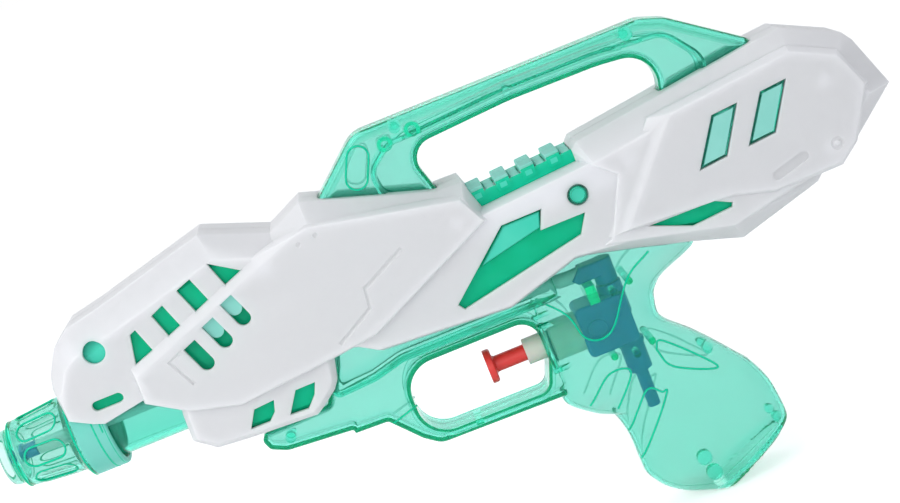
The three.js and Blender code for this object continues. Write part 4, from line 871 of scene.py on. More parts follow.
def round_section(along, radius, thickness, sides=LINE_SIDES):
    """The profile of a ring of round section."""
    angles = [2 * math.pi * k / sides for k in range(sides)] + [0]
    return [(along + thickness * math.cos(a), radius + thickness * math.sin(a)) for a in angles]


def block(low, high):
    (ax, ay, az), (bx, by, bz) = low, high
    return skin([[(ax, y, az), (bx, y, az), (bx, y, bz), (ax, y, bz)] for y in (ay, by)])


def smooth_path(points, steps):
    """A Catmull-Rom curve through the points."""
    path = [Vector(p) for p in points]
    path = [2 * path[0] - path[1], *path, 2 * path[-1] - path[-2]]
    result = []
    for i in range(1, len(path) - 2):
        a, b, c, d = path[i - 1 : i + 3]
        for k in range(steps):
            t = k / steps
            square, cube = (2 * a - 5 * b + 4 * c - d) * t**2, (3 * b - 3 * c + d - a) * t**3
            result.append(0.5 * (2 * b + (c - a) * t + square + cube))
    return [*result, path[-2]]


def swept(path, radius, sides=PIN_SIDES, inner=None):
    """A tube along a path of points; with an inner radius it is hollow."""
    last = len(path) - 1
    normal = None
    wheels = []
    for i in range(len(path)):
        tangent = (path[min(i + 1, last)] - path[max(i - 1, 0)]).normalized()
        if i:
            normal = (normal - tangent * normal.dot(tangent)).normalized()
        else:
            normal = tangent.orthogonal().normalized()
        other = tangent.cross(normal)
        angles = [2 * math.pi * k / sides for k in range(sides)]
        wheels.append([normal * math.cos(a) + other * math.sin(a) for a in angles])
    outside = [[point + spoke * radius for spoke in wheel] for point, wheel in zip(path, wheels)]
    if not inner:
        return skin(outside)
    inside = [[point + spoke * inner for spoke in wheel] for point, wheel in zip(path, wheels)]
    return skin(outside + inside[::-1], looped=True)


def thread(start, turns, root, crest, steps_per_turn=SMALL_SIDES):
    """A right-hand thread round the barrel axis that runs out at both ends."""
    steps = round(turns * steps_per_turn)
    rings = []
    for k in range(steps + 1):
        angle = 2 * math.pi * (k + THREAD_PHASE) / steps_per_turn
        middle = start + THREAD_PITCH * k / steps_per_turn
        height = min(1, THREAD_RAMP * min(k, steps - k) / steps_per_turn + THREAD_END)
        top = root + (crest - root) * height
        section = [
            (middle - THREAD_ROOT_WIDTH / 2, root), (middle - THREAD_CREST_WIDTH / 2, top),
            (middle + THREAD_CREST_WIDTH / 2, top), (middle + THREAD_ROOT_WIDTH / 2, root),
        ]
        rings.append([(x, r * math.cos(angle), r * math.sin(angle)) for x, r in section])
    return skin(rings)


def span(side, near, far):
    """Two distances across on one side, the lower first."""
    return sorted((side * near, side * far))


def slab(low, high):
    """A block over the whole object between two distances across."""
    (ax, az), (bx, bz) = SLAB
    return block((ax, low, az), (bx, high, bz))


def copy_of(form):
    twin = form.copy()
    twin.data = form.data.copy()
    bpy.context.scene.collection.objects.link(twin)
    return twin


def combine(base, *steps):
    """Joins other bodies to the base or cuts it with them, in order; they are used up."""
    for kind, other in steps:
        change = base.modifiers.new(kind, "BOOLEAN")
        change.solver = "MANIFOLD"
        change.operation = kind
        change.object = other
    graph = bpy.context.evaluated_depsgraph_get()
    mesh = bpy.data.meshes.new_from_object(base.evaluated_get(graph))
    base.modifiers.clear()
    base.data = mesh
    for _, other in steps:
        bpy.data.objects.remove(other)
    return base


def joined(*bodies):
    return combine(bodies[0], *[("UNION", other) for other in bodies[1:]])


def cut(base, *bodies):
    return combine(base, *[("DIFFERENCE", other) for other in bodies])


def piece(form, name, nodes, rides_on, slot, sharp=SHARP_ANGLE, finish=None):
    """Moves a form into the row's frame and lets it stand for its CAD nodes, if any."""
    form.name = form.data.name = name
    form.data.transform(Matrix.Scale(MM, 4) @ Matrix.Translation((-DATUM_X, 0, DATUM_Z)))
    form.data.materials.clear()
    form.data.materials.append(materials[finish or slot])
    form.data.polygons.foreach_set("use_smooth", [True] * len(form.data.polygons))
    form.data.set_sharp_from_angle(angle=math.radians(sharp))
    even = form.modifiers.new("even_normals", "WEIGHTED_NORMAL")
    even.keep_sharp = True
    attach(form, rides_on)
    if nodes:
        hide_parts(*nodes)
    return form


# Tank


def eased(places, values, at):
    """A smooth curve through values at falling places that never overshoots."""
    count = len(places)
    slopes = [(values[i + 1] - values[i]) / (places[i + 1] - places[i]) for i in range(count - 1)]
    tangents = [slopes[0]]
    for before, after in zip(slopes, slopes[1:]):
        tangents.append(2 * before * after / (before + after) if before * after > 0 else 0)
    tangents.append(slopes[-1])
    i = next((k for k in range(count - 1) if at >= places[k + 1]), count - 2)
    run = places[i + 1] - places[i]
    t = (at - places[i]) / run
    return (
        (1 + 2 * t) * (1 - t) ** 2 * values[i]
        + t * (1 - t) ** 2 * run * tangents[i]
        + t**2 * (3 - 2 * t) * values[i + 1]
        + t**2 * (t - 1) * run * tangents[i + 1]
    )


def grip_span(z):
    heights, fronts, backs = zip(*GRIP_SLICES)
    return eased(heights, fronts, z), eased(heights, backs, z)


def grip_side(x, z):
    """Half width of the grip at a place of its side."""
    front, back = grip_span(z)
    share = min(GRIP_SIDE_END, abs(2 * x - front - back) / (back - front))
    return GRIP_HALF_WIDTH * (1 - share**GRIP_SQUARENESS) ** (1 / GRIP_SQUARENESS)


def grip_form(grow):
    top, bottom = GRIP_SLICES[0][0], GRIP_SLICES[-1][0]
    base = (Vector(GRIP_BASE_REAR) - Vector(GRIP_BASE_FRONT)).normalized()
    below = Vector((base.y, -base.x))
    foot = Vector(GRIP_BASE_FRONT) + below * grow
    power = 2 / GRIP_SQUARENESS
    rings = []
    for k in range(GRIP_LEVELS + 1):
        share = math.sin(math.pi / 2 * k / GRIP_LEVELS)  # closer together near the base
        z = top + (bottom - top) * share
        front, back = grip_span(z)
        middle = (front + back) / 2
        ring = []
        for i in range(GRIP_POINTS):
            c = math.cos(2 * math.pi * i / GRIP_POINTS)
            s = math.sin(2 * math.pi * i / GRIP_POINTS)
            x = math.copysign(abs(c) ** power, c)
            y = math.copysign(abs(s) ** power, s)
            place = Vector((middle + ((back - front) / 2 + grow) * x, (GRIP_HALF_WIDTH + grow) * y))
            above = max(0, -(Vector((place.x, z)) - foot).dot(below))
            if above < GRIP_BASE_ROUND:
                pull = GRIP_BASE_ROUND - math.sqrt(GRIP_BASE_ROUND**2 - (GRIP_BASE_ROUND - above) ** 2)
                place -= Vector((x, y)).normalized() * pull
            ring.append((place.x, place.y, z))
        rings.append(ring)
    front, back = foot - base * BEYOND, foot + base * BEYOND
    underside = [front, front + below * BEYOND, back + below * BEYOND, back]
    return cut(skin(rings), prism(underside, -BEYOND, BEYOND))


def handle_form(grow):
    """A grip bar whose side towards the hand space steps down to a narrower lip."""
    flat = [corner[:2] for corner in HANDLE_OUTLINE]
    steps = [-HANDLE_LIP if i in HANDLE_HOLE_EDGES else 0 for i in range(len(flat))]
    bar = [(*place, *corner[2:]) for place, corner in zip(offset_outline(flat, steps), HANDLE_OUTLINE)]
    handle = joined(
        soft_prism(rounded(bar), HANDLE_HALF_WIDTH, HANDLE_EDGE, grow),
        soft_prism(rounded(HANDLE_OUTLINE), HANDLE_LIP_HALF_WIDTH, HANDLE_LIP_EDGE, grow),
    )
    return cut(handle, *[handle_pocket(pocket, side, grow) for pocket in HANDLE_POCKETS for side in (-1, 1)])


def handle_pocket(outline, side, grow):
    """A hollow in the handle's side at one end of the hand space."""
    floor = HANDLE_LIP_HALF_WIDTH + grow
    foot = offset_outline(rounded(outline), -grow)
    mouth = offset_outline(foot, POCKET_EDGE)
    levels = [(floor, foot), (HANDLE_HALF_WIDTH + grow, mouth), (BEYOND, mouth)]
    return skin([[(x, side * y, z) for x, z in ring] for y, ring in levels])


def guard_form(grow):
    hole = rounded(GUARD_HOLE)
    rim = offset_outline(hole, GUARD_RIM)
    guard = joined(
        soft_prism(rounded(GUARD_OUTLINE), GUARD_HALF_WIDTH, GUARD_EDGE, grow),
        soft_prism(rim, GUARD_HALF_WIDTH + GUARD_RIM_PROUD, GUARD_RIM_EDGE, grow),
    )
    return cut(guard, prism(offset_outline(hole, -grow), -BEYOND, BEYOND))


def housing_form(grow):
    half = CYLINDER_RADIUS + HOUSING_ROOM + TANK_WALL
    rear = GRIP_FRONT + HOUSING_LENGTH
    low, high = PUMP_AXIS - half, PUMP_AXIS + half
    outline = [(GRIP_FRONT, high), (GRIP_FRONT, low), (rear, low), (rear, high)]
    return soft_prism(outline, half, HOUSING_EDGE, grow)


def rail_top(x):
    return RAIL_TOP + RAIL_TILT * (x - (RAIL_START + RAIL_END) / 2)


def rail_outline(start, end, low, high):
    """A strip along the rail between heights over its sloping top."""
    a, b = rail_top(start), rail_top(end)
    return [(start, a + low), (end, b + low), (end, b + high), (start, a + high)]


def rail_form(grow):
    start, end = RAIL_START - grow, RAIL_END + grow
    foot, half = RAIL_TOP - RAIL_DEPTH, RAIL_HALF_WIDTH + grow
    outline = [(start, foot), (end, foot), *rail_outline(start, end, 0, grow)[2:]]
    return prism(outline, -half, half)


def rail_tooth(middle, length, height, half, grow):
    outline = rail_outline(middle - length / 2, middle + length / 2, -TANK_WALL / 2 - grow, height)
    corners = [*outline[:2], *[(*place, TOOTH_EDGE) for place in outline[2:]]]
    return soft_prism(rounded(corners), half, TOOTH_EDGE, grow, ROUND_STEPS)


def rail_teeth(grow):
    """Tall teeth with a low one in each gap."""
    tall, low = RAIL_HALF_WIDTH - FIT_GAP, RAIL_HALF_WIDTH - 2 * FIT_GAP
    teeth = []
    for middle in TOOTH_MIDDLES:
        teeth.append(rail_tooth(middle, TOOTH_LENGTH, TOOTH_HEIGHT, tall, grow))
        teeth.append(rail_tooth(middle + TOOTH_PITCH / 2, LOW_TOOTH_LENGTH, LOW_TOOTH_HEIGHT, low, grow))
    return joined(*teeth)


def pane_forms(grow):
    edge = (PANE_EDGE, grow, PANE_EDGE_STEPS)
    panes = [soft_prism(pane, RAISED_FACE - PANE_SETBACK, *edge) for pane in REAR_PANES]
    panes.append(soft_prism(MIDDLE_PANE, MIDDLE_PANE_FACE - PANE_SETBACK, *edge))
    panes.append(soft_prism(circle(PEG, PEG_RADIUS), CENTRE_FACE + PEG_PROUD, PANE_EDGE, grow, ROUND_STEPS))
    return joined(*panes)


def tank_form(grow):
    """The tank's form, grown or shrunk all round."""
    form = joined(*[plate(*cover, grow - SHELL_WALL - SHELL_GAP) for cover in COVER_PLATES])
    sweep = turned(rod(-BEYOND, skirt_end + SKIRT_SWEEP - grow, skirt_radius + SKIRT_SWEEP - grow))
    barrel = barrel_bore if grow < 0 else BARREL_RADIUS + grow
    start = neck_end - BEYOND if grow < 0 else barrel_start
    form = cut(form, sweep)
    form = joined(
        form,
        turned(rod(start, barrel_start + BARREL_LENGTH, barrel)),
        handle_form(grow),
        guard_form(grow),
        soft_prism(rounded(FRONT_BLOCK), FRONT_BLOCK_HALF_WIDTH, FRONT_BLOCK_EDGE, grow),
        grip_form(grow),
        housing_form(grow),
        rail_form(grow),
        pane_forms(grow),
    )
    room = SCREW_POST_RADIUS + SHELL_GAP - grow
    return cut(form, *[pin(x, z, room, -BEYOND, BEYOND) for x, z in SCREW_PLACES])


def pin(x, z, radius, low, high):
    return turned(rod(low, high, radius), "Y", (x, 0, z), PIN_SIDES)


def side_reach(x, z):
    """How far the handle, grip or guard reaches to each side at a weld pin."""
    if z > 0:
        return HANDLE_HALF_WIDTH
    return grip_side(x, z) if x > GRIP_FRONT else GUARD_HALF_WIDTH


def tank_insides():
    """Pins, posts and stays that the tank halves carry inside."""
    reach = RAISED_FACE
    depth = HANDLE_HALF_WIDTH - TANK_WALL
    rib_start = block_front + RIB_BEHIND_FRONT
    rib_foot = block_top + FIT_GAP
    beside_neck = VALVE_NECK_RADIUS + STAY_RADIUS + 2 * FIT_GAP
    beside_stub = STUB_RADIUS + STUB_COLLAR_PROUD + STAY_RADIUS + FIT_GAP
    under_block = block_bottom - STAY_RADIUS - FIT_GAP
    stays = [
        (valve_axis + beside_neck, block_top + VALVE_NECK_HEIGHT),
        (valve_axis - beside_stub - STAY_RADIUS, under_block), (valve_axis + beside_stub, under_block),
    ]
    pads = [
        (VALVE_NECK_RADIUS, (block_top + neck_top) / 2),
        (STUB_RADIUS, stub_top - STAY_RADIUS - FIT_GAP),
    ]
    insides = [block((rib_start, -reach, rib_foot), (rib_start + RIB_WIDTH, reach, rib_foot + RIB_HEIGHT))]
    for x, z, radius in WELD_PINS:
        inner = side_reach(x, z) - WELD_PIN_LENGTH
        insides += [pin(x, z, radius, *span(side, inner, reach)) for side in (-1, 1)]
    insides += [pin(x, z, STAY_RADIUS, -reach, reach) for x, z in stays]
    for radius, height in pads:
        spans = [span(side, radius + FIT_GAP, reach) for side in (1, -1)]
        insides += [pin(valve_axis, height, STAY_RADIUS, *ends) for ends in spans]
    for x, z in POSTS:
        insides.append(cut(pin(x, z, POST_OUTER, -reach, reach), pin(x, z, POST_BORE, -depth, depth)))
    return joined(*insides)


def grip_line(points, side):
    """A raised line on the side of the grip."""
    rise = [(x, 0, z + SIDE_VIEW_RISE * grip_side(x, z)) for x, z in points]
    path = []
    for place in smooth_path(rise, LINE_STEPS):
        path.append(Vector((place.x, side * (grip_side(place.x, place.z) - LINE_SUNK), place.z)))
    return swept(path, LINE_RADIUS, LINE_SIDES)


def flat_line(points, half_width, side):
    """A raised line on a flat side of the tank."""
    y = side * (half_width - LINE_SUNK)
    return swept([Vector((x, y, z)) for x, z in points], LINE_RADIUS, LINE_SIDES)


def front_windows():
    half_run = (OBLONG_LENGTH - OBLONG_HEIGHT) / 2
    oblong = stadium((OBLONG_SLOT[0] - half_run, OBLONG_SLOT[1]), (2 * half_run, 0), OBLONG_HEIGHT)
    return [circle(SPY_HOLE, SPY_HOLE_RADIUS), oblong]


def finger_slots():
    return [finger_slot(i) for i in range(FINGER_SLOT_COUNT)]


def finger_slot(number, skipped=0):
    """A slot, or what follows a share of it, that is round at its start and square at its other end."""
    sizes = zip(FINGER_SLOT_END, FINGER_SLOT_STEP, FINGER_SLOT_RUN)
    start = [end + number * step + skipped * run for end, step, run in sizes]
    outline = stadium(start, [(1 - skipped) * run for run in FINGER_SLOT_RUN], FINGER_SLOT_WIDTH)
    return [*outline[: len(outline) // 2 + 1], outline[-1]]


def tank_lines(side):
    pill = stadium(HANDLE_PILL, HANDLE_PILL_RUN, HANDLE_PILL_WIDTH)
    return joined(
        *[grip_line(points, side) for points in GRIP_LINES],
        flat_line([*pill, pill[0]], HANDLE_HALF_WIDTH, side),
        flat_line(GUARD_BRACE, GUARD_HALF_WIDTH, side),
    )


def weld_seam(outside, hollow):
    """The weld that fills the seam between the two halves' walls."""
    half = SEAM_GAP / 2 - WELD_PLAY
    return cut(combine(outside, ("INTERSECT", slab(-half, half))), hollow, cylinder_hole())


def cylinder_hole():
    profile = rod(cylinder_nose, cylinder_shoulder, CYLINDER_NOSE_RADIUS + FIT_GAP)
    return turned(profile, "X", (0, 0, PUMP_AXIS))


def make_tank():
    outside = tank_form(0)
    hollow = tank_form(-TANK_WALL)
    weld = weld_seam(copy_of(outside), copy_of(hollow))
    insides = combine(tank_insides(), ("INTERSECT", copy_of(outside)))
    neck = turned(softened(rod(neck_end, barrel_start + NECK_STEP, neck_radius), PLASTIC_EDGE))
    neck_thread = thread(neck_thread_start, NECK_THREAD_TURNS, neck_radius - TANK_WALL / 2, neck_crest)
    bore = turned(rod(neck_end - FIT_GAP, barrel_start + BEYOND / 2, barrel_bore))
    dish = PEG_RADIUS - PANE_EDGE - FIT_GAP
    peg_dishes = [pin(*PEG, dish, *span(side, CENTRE_FACE - PEG_DISH, BEYOND)) for side in (-1, 1)]
    tank = cut(joined(outside, neck, neck_thread), hollow, bore)
    tank = joined(tank, insides, rail_teeth(0))
    return cut(tank, cylinder_hole(), *peg_dishes), weld


def half_of(form, side):
    room = slab(*span(side, SEAM_GAP / 2, RAISED_FACE + BEYOND))
    return combine(copy_of(form), ("INTERSECT", room))


def wall_part(layer, stamps):
    """The part of the tank's outer layer that the stamps reach."""
    return combine(copy_of(layer), ("INTERSECT", joined(*stamps)))


def stamp(outline, margin, side):
    return prism(offset_outline(outline, margin), *span(side, SHELL_SHOULDER, BEYOND))


def painted_shade_patches(layer, side):
    """Painted shade: the wall behind the covers' windows gets a darker green for the dim inside seen through
    them.
    """
    windows = [MIDDLE_WINDOW, *front_windows(), *finger_slots(), *UPPER_SLOTS, *LUG_SLOTS, REAR_SLOT]
    patches = wall_part(layer, [stamp(outline, PATCH_MARGIN, side) for outline in windows])
    bare = [stamp(outline, margin + PATCH_PROUD, side) for outline, margin in light_places()]
    return cut(patches, *bare)


def rail_strip(middle, half, low, high, proud, side):
    """A strip on the rail's side, between heights over the rail's top."""
    outline = rail_outline(middle - half, middle + half, low, high)
    return prism(outline, *span(side, RAIL_HALF_WIDTH - 2 * FIT_GAP, RAIL_HALF_WIDTH + proud))


def rail_band(side):
    """The side of the rail with a painted glow, with a rib under each tall tooth."""
    middle, half = (RAIL_START + RAIL_END) / 2, (RAIL_END - RAIL_START) / 2
    strips = [rail_strip(middle, half, -RAIL_BAND, RAIL_BAND_RISE, PATCH_PROUD, side)]
    rib = (TOOTH_LENGTH / 2, -RAIL_RIB_DROP, RAIL_RIB_RISE, RAIL_RIB_PROUD)
    strips += [rail_strip(middle, *rib, side) for middle in TOOTH_MIDDLES]
    return joined(*strips)


def tooth_skin(side):
    """The outside of the rail's teeth, painted pale with the panes' painted light from behind."""
    layer = cut(rail_teeth(PATCH_PROUD), rail_teeth(-PATCH_DEPTH))
    part = half_of(layer, side)
    bpy.data.objects.remove(layer)
    return part


def light_places():
    """Outlines and margins of the places where light from behind shows in the windows."""
    return [(MIDDLE_PANE, -PATCH_PROUD), (circle(SPY_HOLE, SPY_HOLE_RADIUS), PATCH_MARGIN)]


def light_patches(layer, side):
    """Painted light: the places where light from behind shows, the peg's dish and a spot on each rib of the
    rail.
    """
    patches = wall_part(layer, [stamp(outline, margin, side) for outline, margin in light_places()])
    floor = CENTRE_FACE - PEG_DISH
    disc = pin(*PEG, PEG_RADIUS - PANE_EDGE, *span(side, floor - PATCH_DEPTH, floor + PATCH_PROUD))
    half, drop, rise = RIB_LIGHT
    proud = RAIL_RIB_PROUD + PATCH_PROUD
    spots = [rail_strip(middle, half, -drop, rise, proud, side) for middle in TOOTH_MIDDLES]
    return joined(patches, disc, *spots)


def pane_patches(layer, side):
    """Painted light from behind on the panes, and pads where light from behind shows in the upper ends of
    finger slots.
    """
    panes = wall_part(layer, [stamp(pane, -PANE_EDGE, side) for pane in REAR_PANES])
    foot = FRONT_FACE - SHELL_WALL - SHELL_GAP - PATCH_DEPTH
    pad = span(side, foot, RAISED_FACE - SHELL_WALL - OPENING_GAP)
    tops = [finger_slot(i, FINGER_SLOT_DARK) for i in range(1, FINGER_SLOT_COUNT)]
    return joined(panes, *[prism(outline, *pad) for outline in tops])


tank, weld = make_tank()
for side, name in SIDES:
    piece(half_of(tank, side), f"tank_{name}_form", [f"tank_{name}_half"], "gun", "green_plastic")
bpy.data.objects.remove(tank)
# the weld's finish is a painted glow along the seam
piece(weld, "tank_weld", [], "gun", "green_plastic", finish="green_painted_glow")
wall_layer = cut(tank_form(PATCH_PROUD), tank_form(-PATCH_DEPTH))
for side, name in SIDES:
    for part, form, finish in (
        # the raised lines are real; on the near (left) side they carry a painted glow, on the right they
        # stay clear
        ("lines", tank_lines(side), "green_painted_glow" if side < 0 else "green_plastic"),
        # the rail's side carries a painted glow
        ("rail", rail_band(side), "green_painted_glow"),
        # the teeth carry painted light from behind
        ("teeth", tooth_skin(side), "green_painted_backlight"),
        # painted shade on the wall behind the windows
        ("patches", painted_shade_patches(wall_layer, side), "green_painted_shade"),
        # painted light in the windows, on the peg and on the ribs
        ("lights", light_patches(wall_layer, side), "green_painted_light"),
        # the panes and slot ends carry painted light from behind
        ("panes", pane_patches(wall_layer, side), "green_painted_backlight"),
    ):
        piece(form, f"tank_{name}_{part}", [], "gun", "green_plastic", finish=finish)
bpy.data.objects.remove(wall_layer)

# Covers


def soft_plate(outline, low, face, outward=False):
    """A plate on both sides with sloping bands and rounded edges; outward bands spread from the face."""
    flat = [point[:2] for point in outline]
    height = face - low

    def ring(share, extra):
        """The outline at a share of the band, with an extra inset."""
        part = share - 1 if outward else share
        return offset_outline(flat, [-(band * part + extra) for _, _, band in outline])

    steps = [k / ROUND_STEPS for k in range(ROUND_STEPS + 1)]
    if outward:
        levels = [(low, ring(0, 0))]
    else:
        levels = [(low + EDGE_DROP * (2 * t - 1), ring(t * t * EDGE_DROP / height, 0)) for t in steps]
    for t in steps:
        share = (1 - t) ** 2 * (1 - EDGE_DROP / height) + 2 * t * (1 - t) + t * t
        levels.append((face - EDGE_DROP * (1 - t) ** 2, ring(share, t * t * EDGE_RUN)))
    return across(levels)


def raised_panel(outline, grow):
    flat = [point[:2] for point in outline]
    base = offset_outline(flat, [grow + band for _, _, band in outline])
    return across([(RAISED_FOOT + grow, base), (RAISED_FACE + grow, offset_outline(flat, grow))])


def cover_outside():
    plates = []
    for outline, shoulder, face in COVER_PLATES:
        plates.append(soft_plate(CENTRE_COVER if outline is CENTRE_OUTLINE else outline, shoulder, face))
    for outline in RAISED_PANELS:
        plates.append(soft_plate(outline, RAISED_FOOT, RAISED_FACE, outward=True))
    return joined(*plates)


def cover_inside(grow):
    plates = [plate(*cover, grow) for cover in COVER_PLATES]
    return joined(*plates, *[raised_panel(outline, grow) for outline in RAISED_PANELS])


def window(outline, face):
    """A cut through both covers whose edges at the face are rounded."""
    levels = [(face - WINDOW_EDGE, outline)]
    for k in range(1, ROUND_STEPS + 1):
        angle = math.pi / 2 * k / ROUND_STEPS
        spread = WINDOW_EDGE * (1 - math.cos(angle))
        levels.append((face - WINDOW_EDGE * (1 - math.sin(angle)), offset_outline(outline, spread)))
    levels.append((face + BEYOND, levels[-1][1]))
    return across(levels)


def cover_windows():
    windows = [window(outline, FRONT_FACE) for outline in [*front_windows(), *UPPER_SLOTS]]
    windows += [window(outline, RAISED_FACE) for outline in finger_slots()]
    windows += [window(outline, LUG_FACE) for outline in LUG_SLOTS]
    windows += [window(offset_outline(pane, OPENING_GAP), RAISED_FACE) for pane in REAR_PANES]
    windows += [window(MIDDLE_WINDOW, CENTRE_FACE), window(REAR_SLOT, REAR_FACE)]
    return windows


def pressed_line(points, side):
    """A soft groove in the raised face of the cover."""
    y = side * (RAISED_FACE + MARK_RADIUS - MARK_DEPTH)
    return swept([Vector((x, y, z)) for x, z in points], MARK_RADIUS, MARK_SIDES)


def pressed_ring(place, radius, side):
    y = side * (RAISED_FACE + MARK_RADIUS - MARK_DEPTH)
    return turned(round_section(y, radius, MARK_RADIUS), "Y", (place[0], 0, place[1]), PIN_SIDES)


def ball_profile(centre, radius, steps):
    angles = [math.pi * k / steps for k in range(steps + 1)]
    return [(centre - radius * math.cos(a), radius * math.sin(a)) for a in angles]


def pressed_dimple(place, side):
    profile = ball_profile(side * (RAISED_FACE + DIMPLE_RADIUS - MARK_DEPTH), DIMPLE_RADIUS, DIMPLE_STEPS)
    return turned(profile, "Y", (place[0], 0, place[1]), PIN_SIDES)


def cover_marks(side):
    (ax, az), (bx, bz) = LOZENGE
    lozenge = stadium((ax, az), (bx - ax, bz - az), LOZENGE_WIDTH)
    return [
        pressed_line(ZIGZAG, side),
        pressed_line(SLOT_CORNER, side),
        *[pressed_dimple(place, side) for place in DIMPLES],
        prism(lozenge, *span(side, RAISED_FACE - MARK_DEPTH, BEYOND)),
        pressed_ring(REAR_RING, REAR_RING_RADIUS, side),
    ]


def make_covers():
    outside = cover_outside()
    posts = []
    for x, z in SCREW_PLACES:
        post = pin(x, z, SCREW_POST_RADIUS, -RAISED_FACE, RAISED_FACE)
        posts.append(combine(post, ("INTERSECT", copy_of(outside))))
    sweep = turned(rod(-BEYOND, skirt_end + SKIRT_SWEEP, skirt_radius + SKIRT_SWEEP))
    openings = [*cover_windows(), sweep, tank_form(OPENING_GAP), rail_teeth(OPENING_GAP)]
    covers = joined(cut(outside, cover_inside(-SHELL_WALL), *openings), *posts)
    tip = SCREW_SEAT - SCREW_LENGTH - 2 * FIT_GAP
    holes = []
    for x, z in SCREW_PLACES:
        holes.append(pin(x, z, SCREW_RADIUS + FIT_GAP, tip, SCREW_SEAT + FIT_GAP))
        holes.append(pin(x, z, SCREW_HEAD_RADIUS + FIT_GAP, SCREW_SEAT, BEYOND))
    return cut(covers, *holes, *cover_marks(-1), *cover_marks(1))


covers = make_covers()
for side, name in SIDES:
    cover = half_of(covers, side)
    piece(cover, f"{name}_cover", [f"{name}_shell"], "gun", "white_plastic", COVER_SHARP_ANGLE)
bpy.data.objects.remove(covers)


def make_screw(place):
    """A self-tapping screw with a pan head and a cross drive."""
    x, z = place
    head = SCREW_SEAT + FIT_GAP
    top = head + SCREW_HEAD_HEIGHT
    core = SCREW_RADIUS - FIT_GAP
    start = SCREW_SEAT - SCREW_LENGTH + SCREW_RADIUS
    profile = [(SCREW_SEAT - SCREW_LENGTH, 0), (start, core)]
    for k in range(int((SCREW_LENGTH - 2 * SCREW_RADIUS) / SCREW_PITCH)):
        turn = start + k * SCREW_PITCH
        profile += [(turn + SCREW_PITCH / 2, SCREW_RADIUS), (turn + SCREW_PITCH, core)]
    profile += [(head, core), (head, SCREW_HEAD_RADIUS)]
    for t in SCREW_DOME_STEPS:
        radius = SCREW_HEAD_RADIUS * math.sqrt(1 - (t * SCREW_DOME) ** 2)
        profile.append((head + SCREW_HEAD_HEIGHT * t, radius))
    profile.append((top, 0))
    arm, half = SCREW_HEAD_RADIUS * SCREW_DRIVE_REACH, SCREW_DRIVE_WIDTH / 2
    floor = top - SCREW_DRIVE_DEPTH
    return cut(
        turned(profile, "Y", (x, 0, z), PIN_SIDES),
        block((x - half, floor, z - arm), (x + half, top + FIT_GAP, z + arm)),
        block((x - arm, floor, z - half), (x + arm, top + FIT_GAP, z + half)),
    )


for number, place in enumerate(SCREW_PLACES, 1):
    name = f"shell_screw_{number}"
    piece(make_screw(place), f"{name}_form", [name], "gun", "steel")


# Front cap and what it holds


def recess_place(number):
    slope = math.atan2(CAP_REAR_RADIUS - CAP_FRONT_RADIUS, CAP_GRIP_LENGTH - CAP_WALL)
    middle = CAP_RING_LENGTH + CAP_GRIP_LENGTH / 2
    turn = Matrix.Rotation(2 * math.pi * number / RECESS_COUNT, 4, "X")
    return turn @ Matrix.Translation((middle, 0, recess_height)) @ Matrix.Rotation(-slope, 4, "Y")


def recess_outline(inset):
    run = RECESS_LENGTH - RECESS_WIDTH
    return stadium((-run / 2, 0), (run, 0), RECESS_WIDTH - 2 * inset)


def cap_recess(number):
    """One finger recess with a flat floor that follows the cap's slope."""
    floor, mouth = recess_outline(RECESS_TAPER), recess_outline(0)
    levels = [(-RECESS_DEPTH, floor), (-RECESS_DEPTH / 2, mouth), (RECESS_WIDTH, mouth)]
    place = recess_place(number)
    return skin([[place @ Vector((x, y, height)) for x, y in outline] for height, outline in levels])


def recess_line(number):
    """A painted glow along the edge of a finger recess, laid on the cap's round surface."""
    place = recess_place(number)
    heights = [(x, y, -y * y / (2 * recess_height) - LINE_SUNK) for x, y in recess_outline(0)]
    path = [place @ Vector(point) for point in heights]
    return swept([*path, path[0]], LINE_RADIUS, LINE_SIDES)


def thread_line():
    """A painted bright line over the cap's thread, where the thread shows through the skirt."""
    radius = skirt_radius - LINE_SUNK + PATCH_PROUD
    path = []
    for k in range(round(CAP_THREAD_TURNS * SMALL_SIDES) + 1):
        angle = 2 * math.pi * k / SMALL_SIDES
        x = neck_thread_start + THREAD_PITCH / 2 + THREAD_PITCH * k / SMALL_SIDES
        path.append(Vector((x, radius * math.cos(angle), radius * math.sin(angle))))
    return swept(path, LINE_RADIUS, LINE_SIDES)


def make_cap_lines():
    """Painted glow along the edges of the cap's rings and recesses."""
    rings = [
        (CAP_RING_LENGTH, CAP_FRONT_RADIUS), (skirt_start + SKIRT_EDGE / 2, skirt_radius),
        (skirt_end - SKIRT_EDGE / 2, skirt_radius),
    ]
    bands = [turned(round_section(x, radius - LINE_SUNK, LINE_RADIUS)) for x, radius in rings]
    return joined(*bands, thread_line(), *[recess_line(i) for i in range(RECESS_COUNT)])


def make_cap_skin():
    """A layer on the cap's skirt and its end, painted paler to lift the shade under the covers."""
    start, end = skirt_start + SKIRT_EDGE, skirt_end + PATCH_PROUD
    outer, inner = skirt_radius + PATCH_PROUD, skirt_radius - SKIRT_SKIN
    rim = skirt_bore + SKIRT_SKIN
    profile = [
        (start, inner), (start, outer), (end, outer), (end, rim), (skirt_end - SKIRT_SKIN, rim),
        (skirt_end - SKIRT_SKIN, inner), (start, inner),
    ]
    return turned(softened(profile, SKIRT_EDGE / 2, closed=True))


